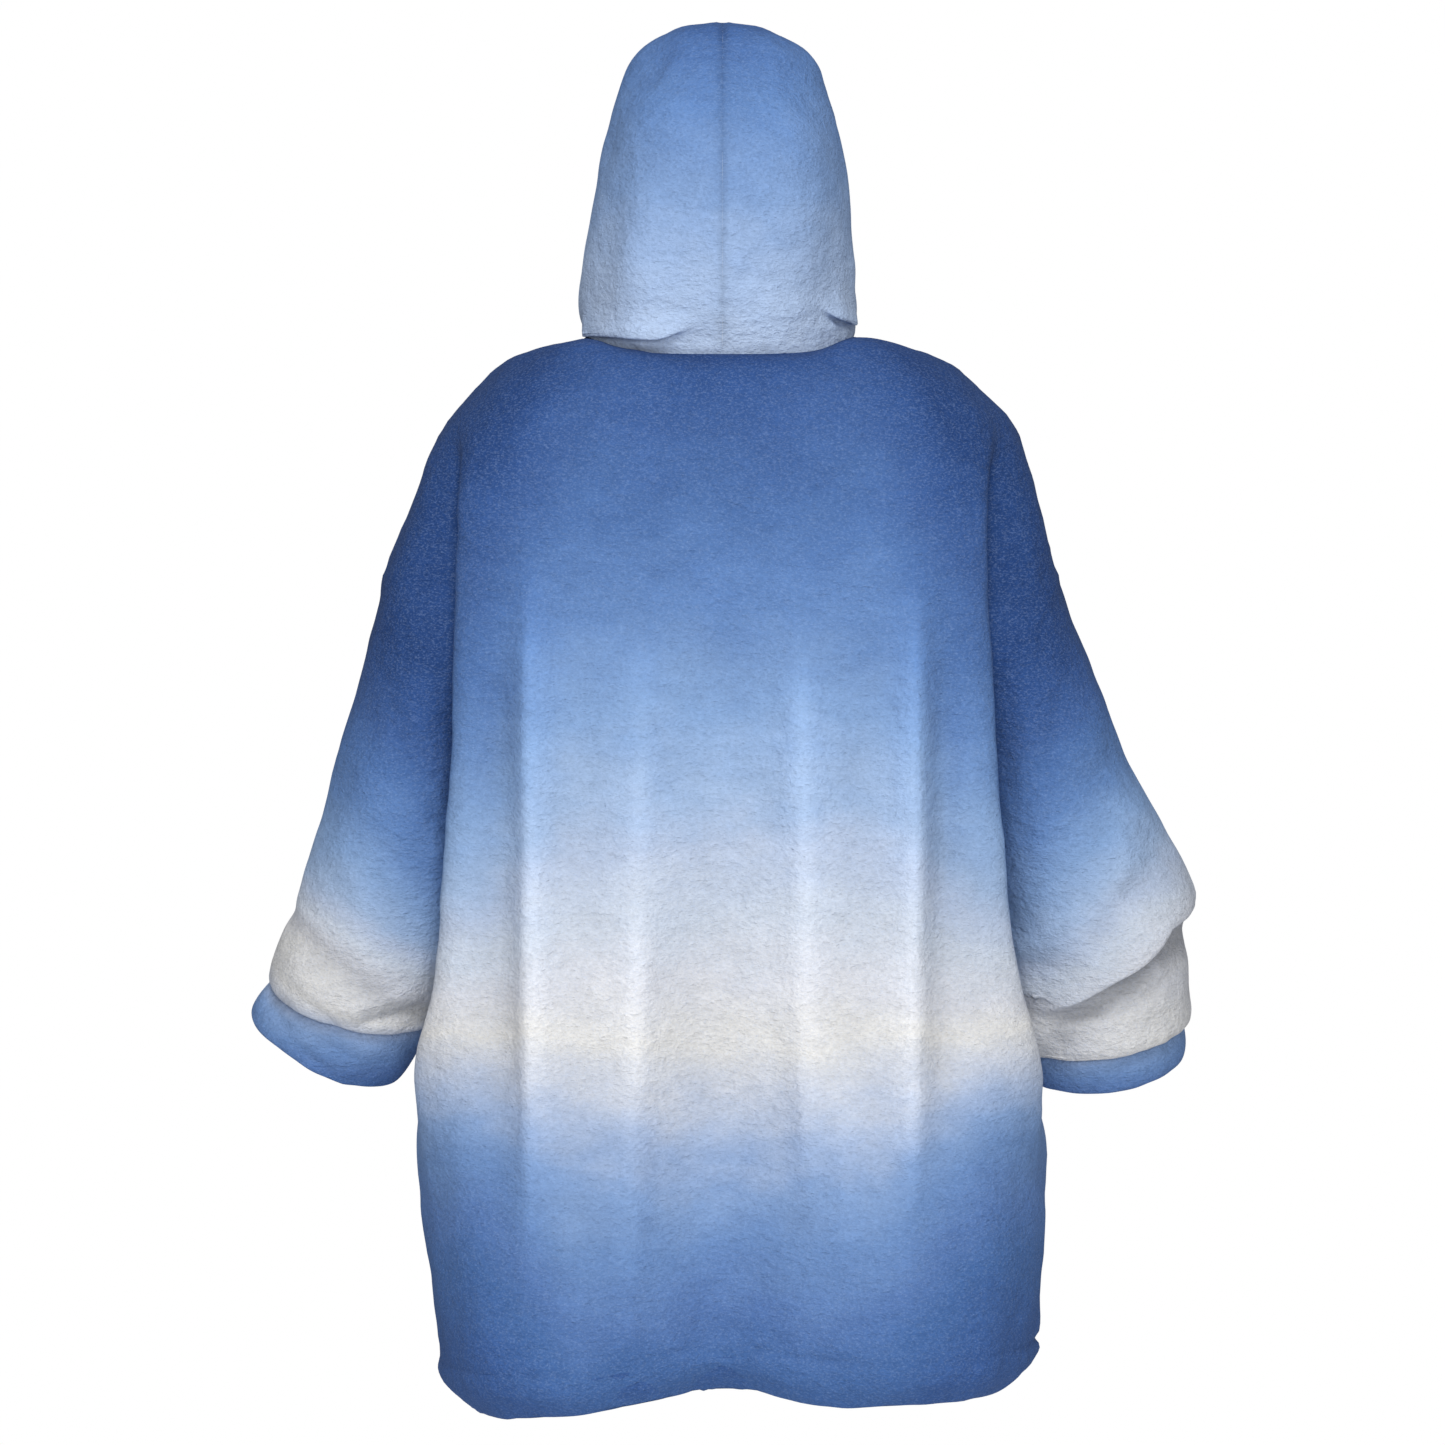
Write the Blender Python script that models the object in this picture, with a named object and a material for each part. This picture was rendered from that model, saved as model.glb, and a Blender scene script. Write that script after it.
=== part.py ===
"""Oversized plush hoodie in worn form, hollow, with the hood up and the sleeves hanging.

Metres, +Z up. The wearer faces -Y, so the back of the garment faces +Y and left is +X.
The origin is the centre of the neck opening at the height of the shoulders.
Every piece is a wall of cloth with its own thickness. Pieces that are sewn together share one
line of points and one set of wall directions at their seam, and stand SEAM_GAP apart there.
"""
import bmesh
import bpy
import numpy as np

CLOTH = 0.003
SEAM_GAP = 0.0005
EASING_ROUNDS = 2

# Sampling: stretches between two neighbouring columns of the tables, from the centre to the side.
BACK_STEPS = (3, 3, 4, 3, 2, 2, 2)
FRONT_STEPS = (2, 2, 4, 3, 2, 2, 2)
ROW_STEPS = 2
UNDERARM_ROW = 7
SLEEVE_STEPS = 2
HOOD_STEPS = 3

# Sections of the back, from the shoulder line down. Each has the height and depth at the centre,
# then (x, y, z) at: inner back, outer back, blade, fold edge, groove, arm, and armhole or side seam.
# The neck and the shoulder line above the first section have tables of their own.
BACK = (
    ((0.108, -0.030), (0.070, 0.098, -0.022), (0.126, 0.062, -0.004), (0.180, 0.046, -0.020),
     (0.215, 0.046, -0.050), (0.240, 0.044, -0.084), (0.264, 0.040, -0.140), (0.286, 0.035, -0.208)),
    ((0.122, -0.062), (0.070, 0.119, -0.055), (0.132, 0.106, -0.046), (0.184, 0.094, -0.056),
     (0.2180, 0.082, -0.080), (0.228, 0.066, -0.104), (0.254, 0.062, -0.158), (0.278, 0.058, -0.224)),
    ((0.130, -0.120), (0.072, 0.131, -0.118), (0.140, 0.127, -0.116), (0.194, 0.117, -0.122),
     (0.2200, 0.101, -0.132), (0.213, 0.074, -0.148), (0.240, 0.071, -0.190), (0.267, 0.072, -0.242)),
    ((0.133, -0.190), (0.074, 0.136, -0.190), (0.144, 0.133, -0.190), (0.200, 0.124, -0.192),
     (0.2220, 0.107, -0.198), (0.212, 0.082, -0.210), (0.230, 0.078, -0.234), (0.252, 0.081, -0.262)),
    ((0.135, -0.260), (0.075, 0.140, -0.260), (0.146, 0.137, -0.260), (0.204, 0.128, -0.262),
     (0.2250, 0.110, -0.264), (0.214, 0.088, -0.270), (0.221, 0.080, -0.278), (0.235, 0.078, -0.288)),
    ((0.137, -0.330), (0.076, 0.144, -0.330), (0.147, 0.141, -0.330), (0.206, 0.131, -0.330),
     (0.2280, 0.112, -0.331), (0.217, 0.089, -0.333), (0.207, 0.068, -0.336), (0.206, 0.046, -0.340)),
    ((0.139, -0.395), (0.076, 0.148, -0.395), (0.147, 0.145, -0.395), (0.208, 0.134, -0.395),
     (0.2310, 0.114, -0.395), (0.216, 0.087, -0.393), (0.191, 0.045, -0.386), (0.180, 0.000, -0.376)),
    ((0.141, -0.470), (0.076, 0.153, -0.470), (0.147, 0.151, -0.470), (0.211, 0.138, -0.470),
     (0.2360, 0.116, -0.470), (0.216, 0.084, -0.468), (0.176, 0.040, -0.464), (0.160, 0.000, -0.460)),
    ((0.143, -0.550), (0.076, 0.159, -0.550), (0.147, 0.159, -0.550), (0.216, 0.143, -0.550),
     (0.2440, 0.117, -0.550), (0.225, 0.082, -0.550), (0.188, 0.038, -0.550), (0.176, 0.000, -0.550)),
    ((0.145, -0.622), (0.076, 0.165, -0.622), (0.147, 0.168, -0.622), (0.220, 0.150, -0.622),
     (0.2600, 0.112, -0.622), (0.254, 0.074, -0.622), (0.240, 0.036, -0.624), (0.234, 0.000, -0.626)),
    ((0.147, -0.692), (0.076, 0.171, -0.694), (0.146, 0.177, -0.694), (0.216, 0.156, -0.692),
     (0.2520, 0.116, -0.692), (0.265, 0.076, -0.692), (0.270, 0.037, -0.692), (0.271, 0.000, -0.692)),
    ((0.149, -0.776), (0.075, 0.177, -0.782), (0.145, 0.188, -0.786), (0.214, 0.165, -0.786),
     (0.2480, 0.122, -0.784), (0.262, 0.080, -0.784), (0.267, 0.039, -0.784), (0.268, 0.000, -0.784)),
    ((0.150, -0.850), (0.072, 0.176, -0.858), (0.142, 0.198, -0.866), (0.206, 0.170, -0.872),
     (0.2360, 0.124, -0.874), (0.250, 0.082, -0.875), (0.257, 0.040, -0.875), (0.258, 0.000, -0.875)),
)
# The neck seam round the wearer's left side: x, y, z from the centre back to the centre front.
NECK = ((0.000, 0.086, -0.014), (0.074, 0.066, -0.010), (0.120, 0.000, 0.007),
        (0.078, -0.072, -0.026), (0.000, -0.104, -0.056))
# The shoulder line from the neck seam to the top of the armhole: x, y, z.
SHOULDER = ((0.120, 0.000, 0.007), (0.180, 0.000, -0.009), (0.215, 0.000, -0.037),
            (0.244, 0.000, -0.072), (0.268, 0.000, -0.134), (0.290, 0.000, -0.200))

# The front is the back's cut with less depth and a lower neck: scale of depth and drop at the centre.
FRONT_DEPTH = 0.92
FRONT_DROP = ((0.036, 0.014), (0.026, 0.010), (0.010, 0.004))
# The sleeves hang forward, so the front is drawn in beside the cuffs: share of x, height and reach.
FRONT_NARROW = 0.13
FRONT_NARROW_Z = -0.60
FRONT_NARROW_REACH = 0.085

# The garment stands a little wider on one side: height, scale of x on the left and on the right.
STANCE = ((0.26, 1.00, 1.07), (0.15, 0.99, 0.99), (0.05, 0.99, 0.93), (0.00, 1.01, 0.97),
          (-0.02, 1.00, 1.045), (-0.06, 1.00, 1.05), (-0.14, 1.01, 1.02), (-0.20, 1.02, 1.01),
          (-0.35, 1.00, 1.01), (-0.60, 1.00, 1.04), (-0.66, 0.99, 1.04), (-0.72, 0.965, 1.02),
          (-0.80, 0.945, 1.035), (-0.95, 0.955, 1.060))
# The hem hangs higher at the right side: lift, and the stretches of x and z over which it grows.
HEM_LIFT = 0.016
HEM_LIFT_ACROSS = (0.06, 0.24)
HEM_LIFT_DOWN = (0.55, 0.88)

# Soft folds that stand out of the back and the front: side (1 back, -1 front), x at the top and at
# the bottom, z at the top and at the bottom, half width and height.
FOLDS = (
    (1, 0.152, 0.150, -0.16, -0.78, 0.017, 0.015),
    (1, 0.181, 0.178, -0.20, -0.74, 0.011, -0.010),
    (1, 0.066, 0.076, -0.22, -0.76, 0.022, 0.009),
    (1, -0.064, -0.074, -0.22, -0.76, 0.022, 0.009),
    (1, -0.160, -0.156, -0.16, -0.78, 0.017, 0.014),
    (1, -0.186, -0.182, -0.20, -0.74, 0.011, -0.010),
    (1, -0.100, -0.106, -0.60, -0.82, 0.016, 0.005),
    (-1, 0.150, 0.146, -0.18, -0.80, 0.019, 0.013),
    (-1, 0.058, 0.070, -0.24, -0.76, 0.022, 0.008),
    (-1, -0.068, -0.060, -0.22, -0.76, 0.024, 0.008),
    (-1, -0.154, -0.150, -0.18, -0.80, 0.018, 0.012),
)

# Sleeves: the line through the middle (x, y, z) and rings along it (distance from the armhole,
# outward and backward radius). The last rings swell over the cuff seam and turn in to it.
SLEEVE_MIDDLE = {
    "left": ((0.240, 0.000, -0.288), (0.268, -0.010, -0.400), (0.294, -0.024, -0.500),
             (0.318, -0.038, -0.550), (0.326, -0.060, -0.604)),
    "right": ((0.238, 0.000, -0.288), (0.283, -0.010, -0.400), (0.320, -0.024, -0.490),
              (0.328, -0.043, -0.576), (0.340, -0.064, -0.640)),
}
SLEEVE_RINGS = {
    "left": ((0.000, 0.100, 0.100), (0.050, 0.096, 0.098), (0.100, 0.090, 0.094),
             (0.150, 0.085, 0.091), (0.200, 0.082, 0.088), (0.235, 0.079, 0.087),
             (0.258, 0.077, 0.088), (0.273, 0.077, 0.088), (0.284, 0.078, 0.084),
             (0.291, 0.075, 0.078), (0.293, 0.070, 0.072)),
    "right": ((0.000, 0.100, 0.100), (0.050, 0.095, 0.098), (0.100, 0.090, 0.095),
              (0.150, 0.087, 0.093), (0.190, 0.088, 0.093), (0.228, 0.092, 0.097),
              (0.264, 0.085, 0.088), (0.294, 0.084, 0.087), (0.315, 0.081, 0.084),
              (0.323, 0.075, 0.078), (0.325, 0.070, 0.072)),
}
ARMHOLE_REACH = 0.26

# Tucks round the sleeves: side, distance from the armhole, turn from the outer side (degrees,
# back is 90), half length along, half width in turn, height, slant along for each turn.
TUCKS = (
    ("right", 0.268, 85.0, 0.009, 95.0, -0.013, 0.030),
    ("right", 0.248, 55.0, 0.012, 80.0, 0.006, 0.030),
    ("right", 0.100, 60.0, 0.020, 60.0, 0.004, 0.060),
    ("left", 0.252, 80.0, 0.012, 70.0, -0.006, 0.020),
    ("left", 0.120, 70.0, 0.022, 60.0, 0.004, 0.050),
    ("right", 0.245, 250.0, 0.014, 60.0, -0.006, 0.020),
    ("left", 0.245, 260.0, 0.014, 60.0, -0.006, 0.020),
)

# Cuffs and hem band below their seams: distance down and inward from the seam.
CUFF_PROFILE = ((0.000, 0.000), (0.009, -0.003), (0.021, -0.003), (0.032, -0.001), (0.038, 0.001))
# How a band hangs: scale of its length, the share by which it is shorter at the outer and at the
# inner side, and how far it flares at the outer and at the inner side. A level one keeps its length.
CUFF_SHAPE = {"left": (1.52, 0.46, -0.16, 0.020, -0.016), "right": (1.00, 0.00, 0.00, 0.000, 0.000)}
LEVEL_SHAPE = (1.0, 0.0, 0.0, 0.0, 0.0)
BAND_PROFILE = ((0.000, 0.000), (0.008, -0.003), (0.020, 0.003), (0.031, 0.014), (0.038, 0.026))

# Sections of the hood's left half from the neck seam to the crown: x, y, z at the centre seam,
# back, side, cheek and face edge. The first section is the neck seam itself.
HOOD = (
    ((0.000, 0.108, 0.036), (0.076, 0.080, 0.038), (0.121, 0.000, 0.044), (0.114, -0.070, 0.022),
     (0.052, -0.112, -0.006)),
    ((0.000, 0.117, 0.100), (0.078, 0.086, 0.100), (0.115, 0.004, 0.104), (0.110, -0.072, 0.086),
     (0.084, -0.122, 0.066)),
    ((0.000, 0.110, 0.168), (0.070, 0.082, 0.166), (0.105, 0.006, 0.164), (0.102, -0.070, 0.150),
     (0.090, -0.126, 0.136)),
    ((0.000, 0.084, 0.226), (0.054, 0.066, 0.224), (0.089, 0.008, 0.218), (0.090, -0.066, 0.206),
     (0.082, -0.130, 0.194)),
    ((0.000, 0.050, 0.262), (0.036, 0.038, 0.266), (0.067, 0.000, 0.260), (0.070, -0.066, 0.252),
     (0.064, -0.132, 0.238)),
    ((0.000, 0.022, 0.276), (0.000, -0.006, 0.282), (0.000, -0.050, 0.285), (0.000, -0.094, 0.280),
     (0.000, -0.134, 0.266)),
)
# Dents and swells of the hood: x, y, z, reach and height.
HOOD_DENTS = (
    (0.060, 0.050, 0.236, 0.030, -0.005),
    (0.040, 0.080, 0.200, 0.026, 0.003),
    (0.000, 0.030, 0.274, 0.014, -0.004),
    (-0.050, 0.070, 0.214, 0.024, -0.003),
    (-0.080, 0.050, 0.150, 0.040, 0.003),
    (0.070, 0.080, 0.040, 0.030, 0.005),
    (-0.090, 0.060, 0.020, 0.020, -0.004),
)

# Sheets that make one larger form between them. Every other sheet is a form of its own.
FORMS = {"back_panel": "body", "front_panel": "body", "hood_left": "hood", "hood_right": "hood"}

# The edges of each sheet that are sewn to another.
SEAMS = {
    "back_panel": ("top", "bottom", "start", "end"),
    "front_panel": ("top", "bottom", "start", "end"),
    "sleeve_left": ("top", "bottom"),
    "sleeve_right": ("top", "bottom"),
    "cuff_left": ("top",),
    "cuff_right": ("top",),
    "hood_left": ("top", "bottom", "start"),
    "hood_right": ("top", "bottom", "start"),
    "hem_band": ("top",),
}

FLEECE_BLUE = (0.16, 0.28, 0.55, 1.0)
CUFF_BLUE = (0.14, 0.25, 0.50, 1.0)


def smooth(points, places):
    """Points of the smooth curve through the rows of points, at places counted in rows."""
    points = np.asarray(points, float)
    first = 2 * points[0] - points[1]
    last = 2 * points[-1] - points[-2]
    padded = np.concatenate([[first], points, [last]])
    places = np.asarray(places, float)
    step = np.clip(places.astype(int), 0, len(points) - 2)
    part = (places - step).reshape((-1,) + (1,) * (points.ndim - 1))
    before, start, end, after = (padded[step + k] for k in range(4))
    bend = 2 * before - 5 * start + 4 * end - after
    turn = 3 * (start - end) + after - before
    return start + 0.5 * part * (end - before + part * (bend + part * turn))


def places_along(steps):
    """Places from 0 up, with the given number of steps in each stretch between two rows."""
    stretches = [np.arange(count) / count + number for number, count in enumerate(steps)]
    return np.append(np.concatenate(stretches), len(steps))


def mirrored(places):
    """The same places on both sides of a centre line, from the left side to the right."""
    return np.concatenate([-places[::-1], places[1:]])


def bump(distance):
    """Soft hill: 1 in the middle, about 0 from a distance of 2 on."""
    return np.exp(-np.square(distance))


def fade(value, start, end):
    """Smooth rise from 0 at start to 1 at end."""
    part = np.clip((value - start) / (end - start), 0.0, 1.0)
    return part * part * (3 - 2 * part)


def stance(points):
    """Points moved sideways by the garment's stance at their height."""
    table = np.array(STANCE)[::-1]
    left = np.interp(points[..., 2], table[:, 0], table[:, 1])
    right = np.interp(points[..., 2], table[:, 0], table[:, 2])
    moved = points.copy()
    moved[..., 0] *= np.where(points[..., 0] > 0, left, right)
    lift = fade(-points[..., 0], *HEM_LIFT_ACROSS) * fade(-points[..., 2], *HEM_LIFT_DOWN)
    moved[..., 2] += HEM_LIFT * lift
    return moved


def whole_row(half):
    """A row of points across both sides, from the left side to the right, of its left half."""
    half = np.asarray(half, float)
    return np.concatenate([half[::-1], half[1:] * (-1, 1, 1)])


def neck_loop():
    """The neck seam as a closed loop that starts at the centre back and runs to the left."""
    left = np.array(NECK)
    right = left[1:-1][::-1] * (-1, 1, 1)
    return np.concatenate([left, right])


def on_neck(places):
    """Points of the closed neck loop at places counted in its points."""
    loop = neck_loop()
    wrapped = np.concatenate([loop[-2:], loop, loop[:3]])
    return smooth(wrapped, np.mod(places, len(loop)) + 2)


def top_edge(across, front):
    """The neck and shoulder edge of a panel at places across, from the left to the right."""
    shoulder = smooth(SHOULDER, np.clip(np.abs(across) - 2, 0, 5))
    shoulder[:, 0] *= -np.sign(across)
    neck_places = 4 + across if front else -across
    return np.where(np.abs(across)[:, None] <= 2, on_neck(neck_places), shoulder)


def panel_places(front):
    """Places of a panel's columns, from the left side over the centre to the right side."""
    return mirrored(places_along(FRONT_STEPS if front else BACK_STEPS))


def panel(front, across):
    """Grid of points of the back or the front panel: rows down, columns from the left to the right."""
    rows = []
    for number, row in enumerate(BACK):
        half = np.array([(0.0,) + row[0]] + list(row[1:]))
        if front:
            half[:, 1] *= -FRONT_DEPTH
            beside_cuff = bump((half[3:6, 2] - FRONT_NARROW_Z) / FRONT_NARROW_REACH)
            half[3:6, 0] *= 1 - FRONT_NARROW * beside_cuff
            if number < len(FRONT_DROP):
                half[:2, 2] -= FRONT_DROP[number][0]
                half[2, 2] -= FRONT_DROP[number][1]
        rows.append(smooth(whole_row(half), across + 7))
    rows = np.array([top_edge(across, front)] + rows)
    down = places_along((ROW_STEPS,) * (len(rows) - 1))
    grid = smooth(rows, down)
    grid[UNDERARM_ROW * ROW_STEPS:, (0, -1), 1] = 0.0
    return stance(grid)


def grid_normals(grid, closed):
    """Outward direction at each point of a grid, not yet of unit length."""
    ring = np.concatenate([grid, grid[:, :1]], axis=1) if closed else grid
    across = ring[1:, 1:] - ring[:-1, :-1]
    along = ring[1:, :-1] - ring[:-1, 1:]
    faces = np.cross(across, along)
    middles = (ring[1:, 1:] + ring[:-1, :-1]) / 2
    centres = (grid[1:].mean(axis=1) + grid[:-1].mean(axis=1)) / 2
    if np.sum(faces * (middles - centres[:, None])) < 0:
        faces = -faces
    normals = np.zeros_like(ring)
    for rows in (slice(None, -1), slice(1, None)):
        for columns in (slice(None, -1), slice(1, None)):
            normals[rows, columns] += faces
    if closed:
        normals[:, 0] += normals[:, -1]
        normals = normals[:, :-1]
    return normals


def unit(vectors):
    """Vectors brought to length 1."""
    return vectors / np.maximum(np.linalg.norm(vectors, axis=-1, keepdims=True), 1e-12)


def folded_panel(front):
    """The panel's grid with its folds."""
    across = panel_places(front)
    grid = panel(front, across)
    normals = unit(grid_normals(grid, False))
    height = np.zeros(grid.shape[:2])
    for side, x_top, x_bottom, z_top, z_bottom, half_width, rise in FOLDS:
        if (side < 0) != front:
            continue
        down = (z_top - grid[..., 2]) / (z_top - z_bottom)
        line = x_top + (x_bottom - x_top) * down
        window = fade(down, 0.0, 0.35) * fade(down, 1.0, 0.60)
        height += rise * window * bump((grid[..., 0] - line) / half_width)
    height *= fade(np.abs(across), 4.0, 3.0)
    return grid + normals * height[..., None]


def sleeve(side, back, front):
    """Rings of the sleeve from the armhole to the cuff seam, and the axes at its last ring."""
    edge = 0 if side == "left" else -1
    last = UNDERARM_ROW * ROW_STEPS
    hole = np.concatenate([back[:last + 1, edge], front[1:last, edge][::-1]])
    sign = 1 if side == "left" else -1
    middle = np.array(SLEEVE_MIDDLE[side]) * (sign, 1, 1)
    fine = smooth(middle, np.linspace(0, len(middle) - 1, 121))
    reach = np.append(0, np.cumsum(np.linalg.norm(np.diff(fine, axis=0), axis=1)))
    rings = smooth(SLEEVE_RINGS[side], places_along((SLEEVE_STEPS,) * (len(SLEEVE_RINGS[side]) - 1)))
    even_turn = np.linspace(0, 2 * np.pi, len(hole), endpoint=False)
    grid = []
    for along, radius_out, radius_back in rings:
        centre = np.array([np.interp(along, reach, fine[:, k]) for k in range(3)])
        ahead = np.array([np.interp(along + 0.01, reach, fine[:, k]) for k in range(3)])
        behind = np.array([np.interp(along - 0.01, reach, fine[:, k]) for k in range(3)])
        axis = unit(ahead - behind)
        backward = unit(np.array((0.0, 1.0, 0.0)) - axis * axis[1])
        outward = sign * np.cross(axis, backward)
        if not grid:
            hole_turn = np.arctan2((hole - centre) @ backward, (hole - centre) @ outward)
            hole_turn = np.mod(hole_turn + 0.2, 2 * np.pi) - 0.2
        freed = fade(along, 0.0, ARMHOLE_REACH)
        turn = hole_turn + (even_turn - hole_turn) * freed
        spread = radius_out * np.cos(turn)[:, None] * outward
        spread = spread + radius_back * np.sin(turn)[:, None] * backward
        degrees = np.degrees(turn)
        swell = np.zeros(len(turn))
        for which, place, facing, half_length, half_turn, rise, slant in TUCKS:
            if which == side:
                offset = (degrees - facing + 180) % 360 - 180
                line = place + slant * np.clip(offset, -90, 90) / 90
                swell += rise * bump((along - line) / half_length) * bump(offset / half_turn)
        ring = centre + spread + unit(spread) * swell[:, None]
        if not grid:
            slant_part = hole - ring
        grid.append(ring + slant_part * (1 - freed))
    return np.array(grid), axis


def band(seam, axis, profile, outward=(0.0, 0.0, 0.0), shape=LEVEL_SHAPE):
    """Rings of a band below a seam ring: each goes along the axis and in towards the middle."""
    scale, shorter_out, shorter_in, flare_out, flare_in = shape
    inward = seam.mean(axis=0) - seam
    inward = unit(inward - np.outer(inward @ axis, axis))
    outside = np.maximum(-inward @ np.array(outward), 0.0)
    inside = np.maximum(inward @ np.array(outward), 0.0)
    reach = scale * (1 - shorter_out * outside - shorter_in * inside)
    spread = (flare_out * outside + flare_in * inside) / profile[-1][0]
    rings = []
    for down, pull in profile:
        rings.append(seam + np.outer(reach * down, axis) + inward * (pull - spread * down)[:, None])
    return np.array(rings)


def hood(side):
    """Grid of one half of the hood: rows up, columns from the centre seam to the face edge."""
    back_places = places_along(BACK_STEPS[:2])
    front_places = 4 - places_along(FRONT_STEPS[:2])[::-1]
    columns = np.concatenate([back_places, front_places[1:]])
    rows = [on_neck(columns)] + [smooth(row, columns) for row in HOOD]
    up = places_along((HOOD_STEPS,) * (len(rows) - 1))
    grid = smooth(rows, up)
    grid[:, 0, 0] = 0.0
    if side == "right":
        grid = grid * (-1, 1, 1)
    normals = unit(grid_normals(grid, False))
    lift = fade(np.arange(len(up)), 0, HOOD_STEPS)[:, None]
    for x, y, z, reach, rise in HOOD_DENTS:
        distance = np.linalg.norm(grid - (x, y, z), axis=2) / reach
        grid = grid + normals * (rise * lift * bump(distance))[..., None]
    grid[:, 0, 0] = 0.0
    grid[-1, :, 0] = 0.0
    return stance(grid)


def key(point):
    """Name of a place in space, the same for points that lie on each other."""
    return tuple(np.round(point * 1e5).astype(int))


def eased(normals, closed):
    """Directions that turn gradually within a sheet, with those at its edges left as they are."""
    for _ in range(EASING_ROUNDS):
        left = np.roll(normals, 1, axis=1)
        right = np.roll(normals, -1, axis=1)
        mean = normals * 2 + left + right
        mean[1:-1] += normals[:-2] + normals[2:]
        eased_part = unit(mean)
        inside = slice(None) if closed else slice(1, -1)
        normals[1:-1, inside] = eased_part[1:-1, inside]
    return normals


def shared_normals(sheets):
    """Outward unit directions of all sheets, the same on both sides of each seam."""
    by_form = {}
    for name, (grid, closed) in sheets.items():
        form = by_form.setdefault(FORMS.get(name, name), {})
        for point, normal in zip(grid.reshape(-1, 3), grid_normals(grid, closed).reshape(-1, 3)):
            form[key(point)] = form.get(key(point), 0) + normal
    total = {}
    for form in by_form.values():
        for place, normal in form.items():
            total[place] = total.get(place, 0) + unit(normal)
    found = {}
    for name, (grid, closed) in sheets.items():
        flat = np.array([total[key(point)] for point in grid.reshape(-1, 3)])
        found[name] = eased(unit(flat.reshape(grid.shape)), closed)
    return found


def drawn_back(grid, normals, seams):
    """The grid with its seam edges drawn back by half of SEAM_GAP, within the sheet."""
    moved = grid.copy()
    edges = {"top": ((0, slice(None)), (1, slice(None))),
             "bottom": ((-1, slice(None)), (-2, slice(None))),
             "start": ((slice(None), 0), (slice(None), 1)),
             "end": ((slice(None), -1), (slice(None), -2))}
    for seam in seams:
        edge, inside = edges[seam]
        towards = grid[inside] - grid[edge]
        line = unit(np.gradient(grid[edge], axis=0))
        normal = normals[edge]
        aim = np.cross(line, normal)
        aim = aim * np.sign(np.sum(aim * towards, axis=1))[:, None]
        moved[edge] += unit(aim) * SEAM_GAP / 2
    return moved


def beside_centre(layer, name):
    """The points of one half of the hood, kept on their own side of the centre seam."""
    kept = layer.copy()
    if name.endswith("left"):
        kept[..., 0] = np.maximum(layer[..., 0], SEAM_GAP / 2)
    else:
        kept[..., 0] = np.minimum(layer[..., 0], -SEAM_GAP / 2)
    return kept


def cloth_wall(name, outer, inner, closed, material, collection):
    """One closed wall between an outer and an inner grid of points."""
    rows, columns = outer.shape[:2]
    if closed:
        outer = np.concatenate([outer, outer[:, :1]], axis=1)
        inner = np.concatenate([inner, inner[:, :1]], axis=1)
        columns += 1
    mesh = bmesh.new()
    place = mesh.verts.layers.int.new("place")
    bmesh.ops.create_grid(mesh, x_segments=columns - 1, y_segments=rows - 1, size=0.5)
    for vert in mesh.verts:
        column = round((vert.co.x + 0.5) * (columns - 1))
        row = round((vert.co.y + 0.5) * (rows - 1))
        vert[place] = row * columns + column
        vert.co = outer[row, column]
    bmesh.ops.remove_doubles(mesh, verts=mesh.verts, dist=1e-6)
    flat_inner = inner.reshape(-1, 3)
    made = bmesh.ops.extrude_face_region(mesh, geom=mesh.faces[:], use_keep_orig=True)
    for item in made["geom"]:
        if isinstance(item, bmesh.types.BMVert):
            item.co = flat_inner[item[place]]
    bmesh.ops.recalc_face_normals(mesh, faces=mesh.faces)
    data = bpy.data.meshes.new(name)
    mesh.to_mesh(data)
    mesh.free()
    data.materials.append(material)
    made_object = bpy.data.objects.new(name, data)
    collection.objects.link(made_object)
    return made_object


def cloth_material(name, colour):
    """Plain matt cloth in one colour."""
    material = bpy.data.materials.new(name)
    material.use_nodes = True
    shader = material.node_tree.nodes["Principled BSDF"]
    shader.inputs["Base Color"].default_value = colour
    shader.inputs["Roughness"].default_value = 0.9
    return material


def build():
    """All pieces of the hoodie."""
    for old in list(bpy.data.objects):
        bpy.data.objects.remove(old, do_unlink=True)
    collection = bpy.data.collections.new("hoodie")
    bpy.context.scene.collection.children.link(collection)
    fleece = cloth_material("fleece", FLEECE_BLUE)
    rib = cloth_material("cuff_fleece", CUFF_BLUE)

    back = folded_panel(False)
    front = folded_panel(True)
    sheets = {"back_panel": (back, False), "front_panel": (front, False)}
    for side in ("left", "right"):
        rings, axis = sleeve(side, back, front)
        sheets["sleeve_" + side] = (rings, True)
        outward = (1.0 if side == "left" else -1.0, 0.0, 0.0)
        cuff = band(rings[-1], axis, CUFF_PROFILE, outward, CUFF_SHAPE[side])
        sheets["cuff_" + side] = (cuff, True)
        sheets["hood_" + side] = (hood(side), False)
    hem = np.concatenate([back[-1], front[-1, 1:-1][::-1]])
    sheets["hem_band"] = (band(hem, np.array((0.0, 0.0, -1.0)), BAND_PROFILE), True)

    normals = shared_normals(sheets)
    for name, (grid, closed) in sheets.items():
        outer = drawn_back(grid, normals[name], SEAMS[name])
        inner = outer - normals[name] * CLOTH
        if name.startswith("hood"):
            outer, inner = (beside_centre(layer, name) for layer in (outer, inner))
        material = rib if name.startswith(("cuff", "hem")) else fleece
        cloth_wall(name, outer, inner, closed, material, collection)


build()
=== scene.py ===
"""Dressed oversized plush hoodie: thin fleece shells on the forms of the solids, with their folds,
seams and nap, in a plain pale studio. Metres, +Z up, the wearer faces -Y, left is +X."""

import collections
import functools

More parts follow.
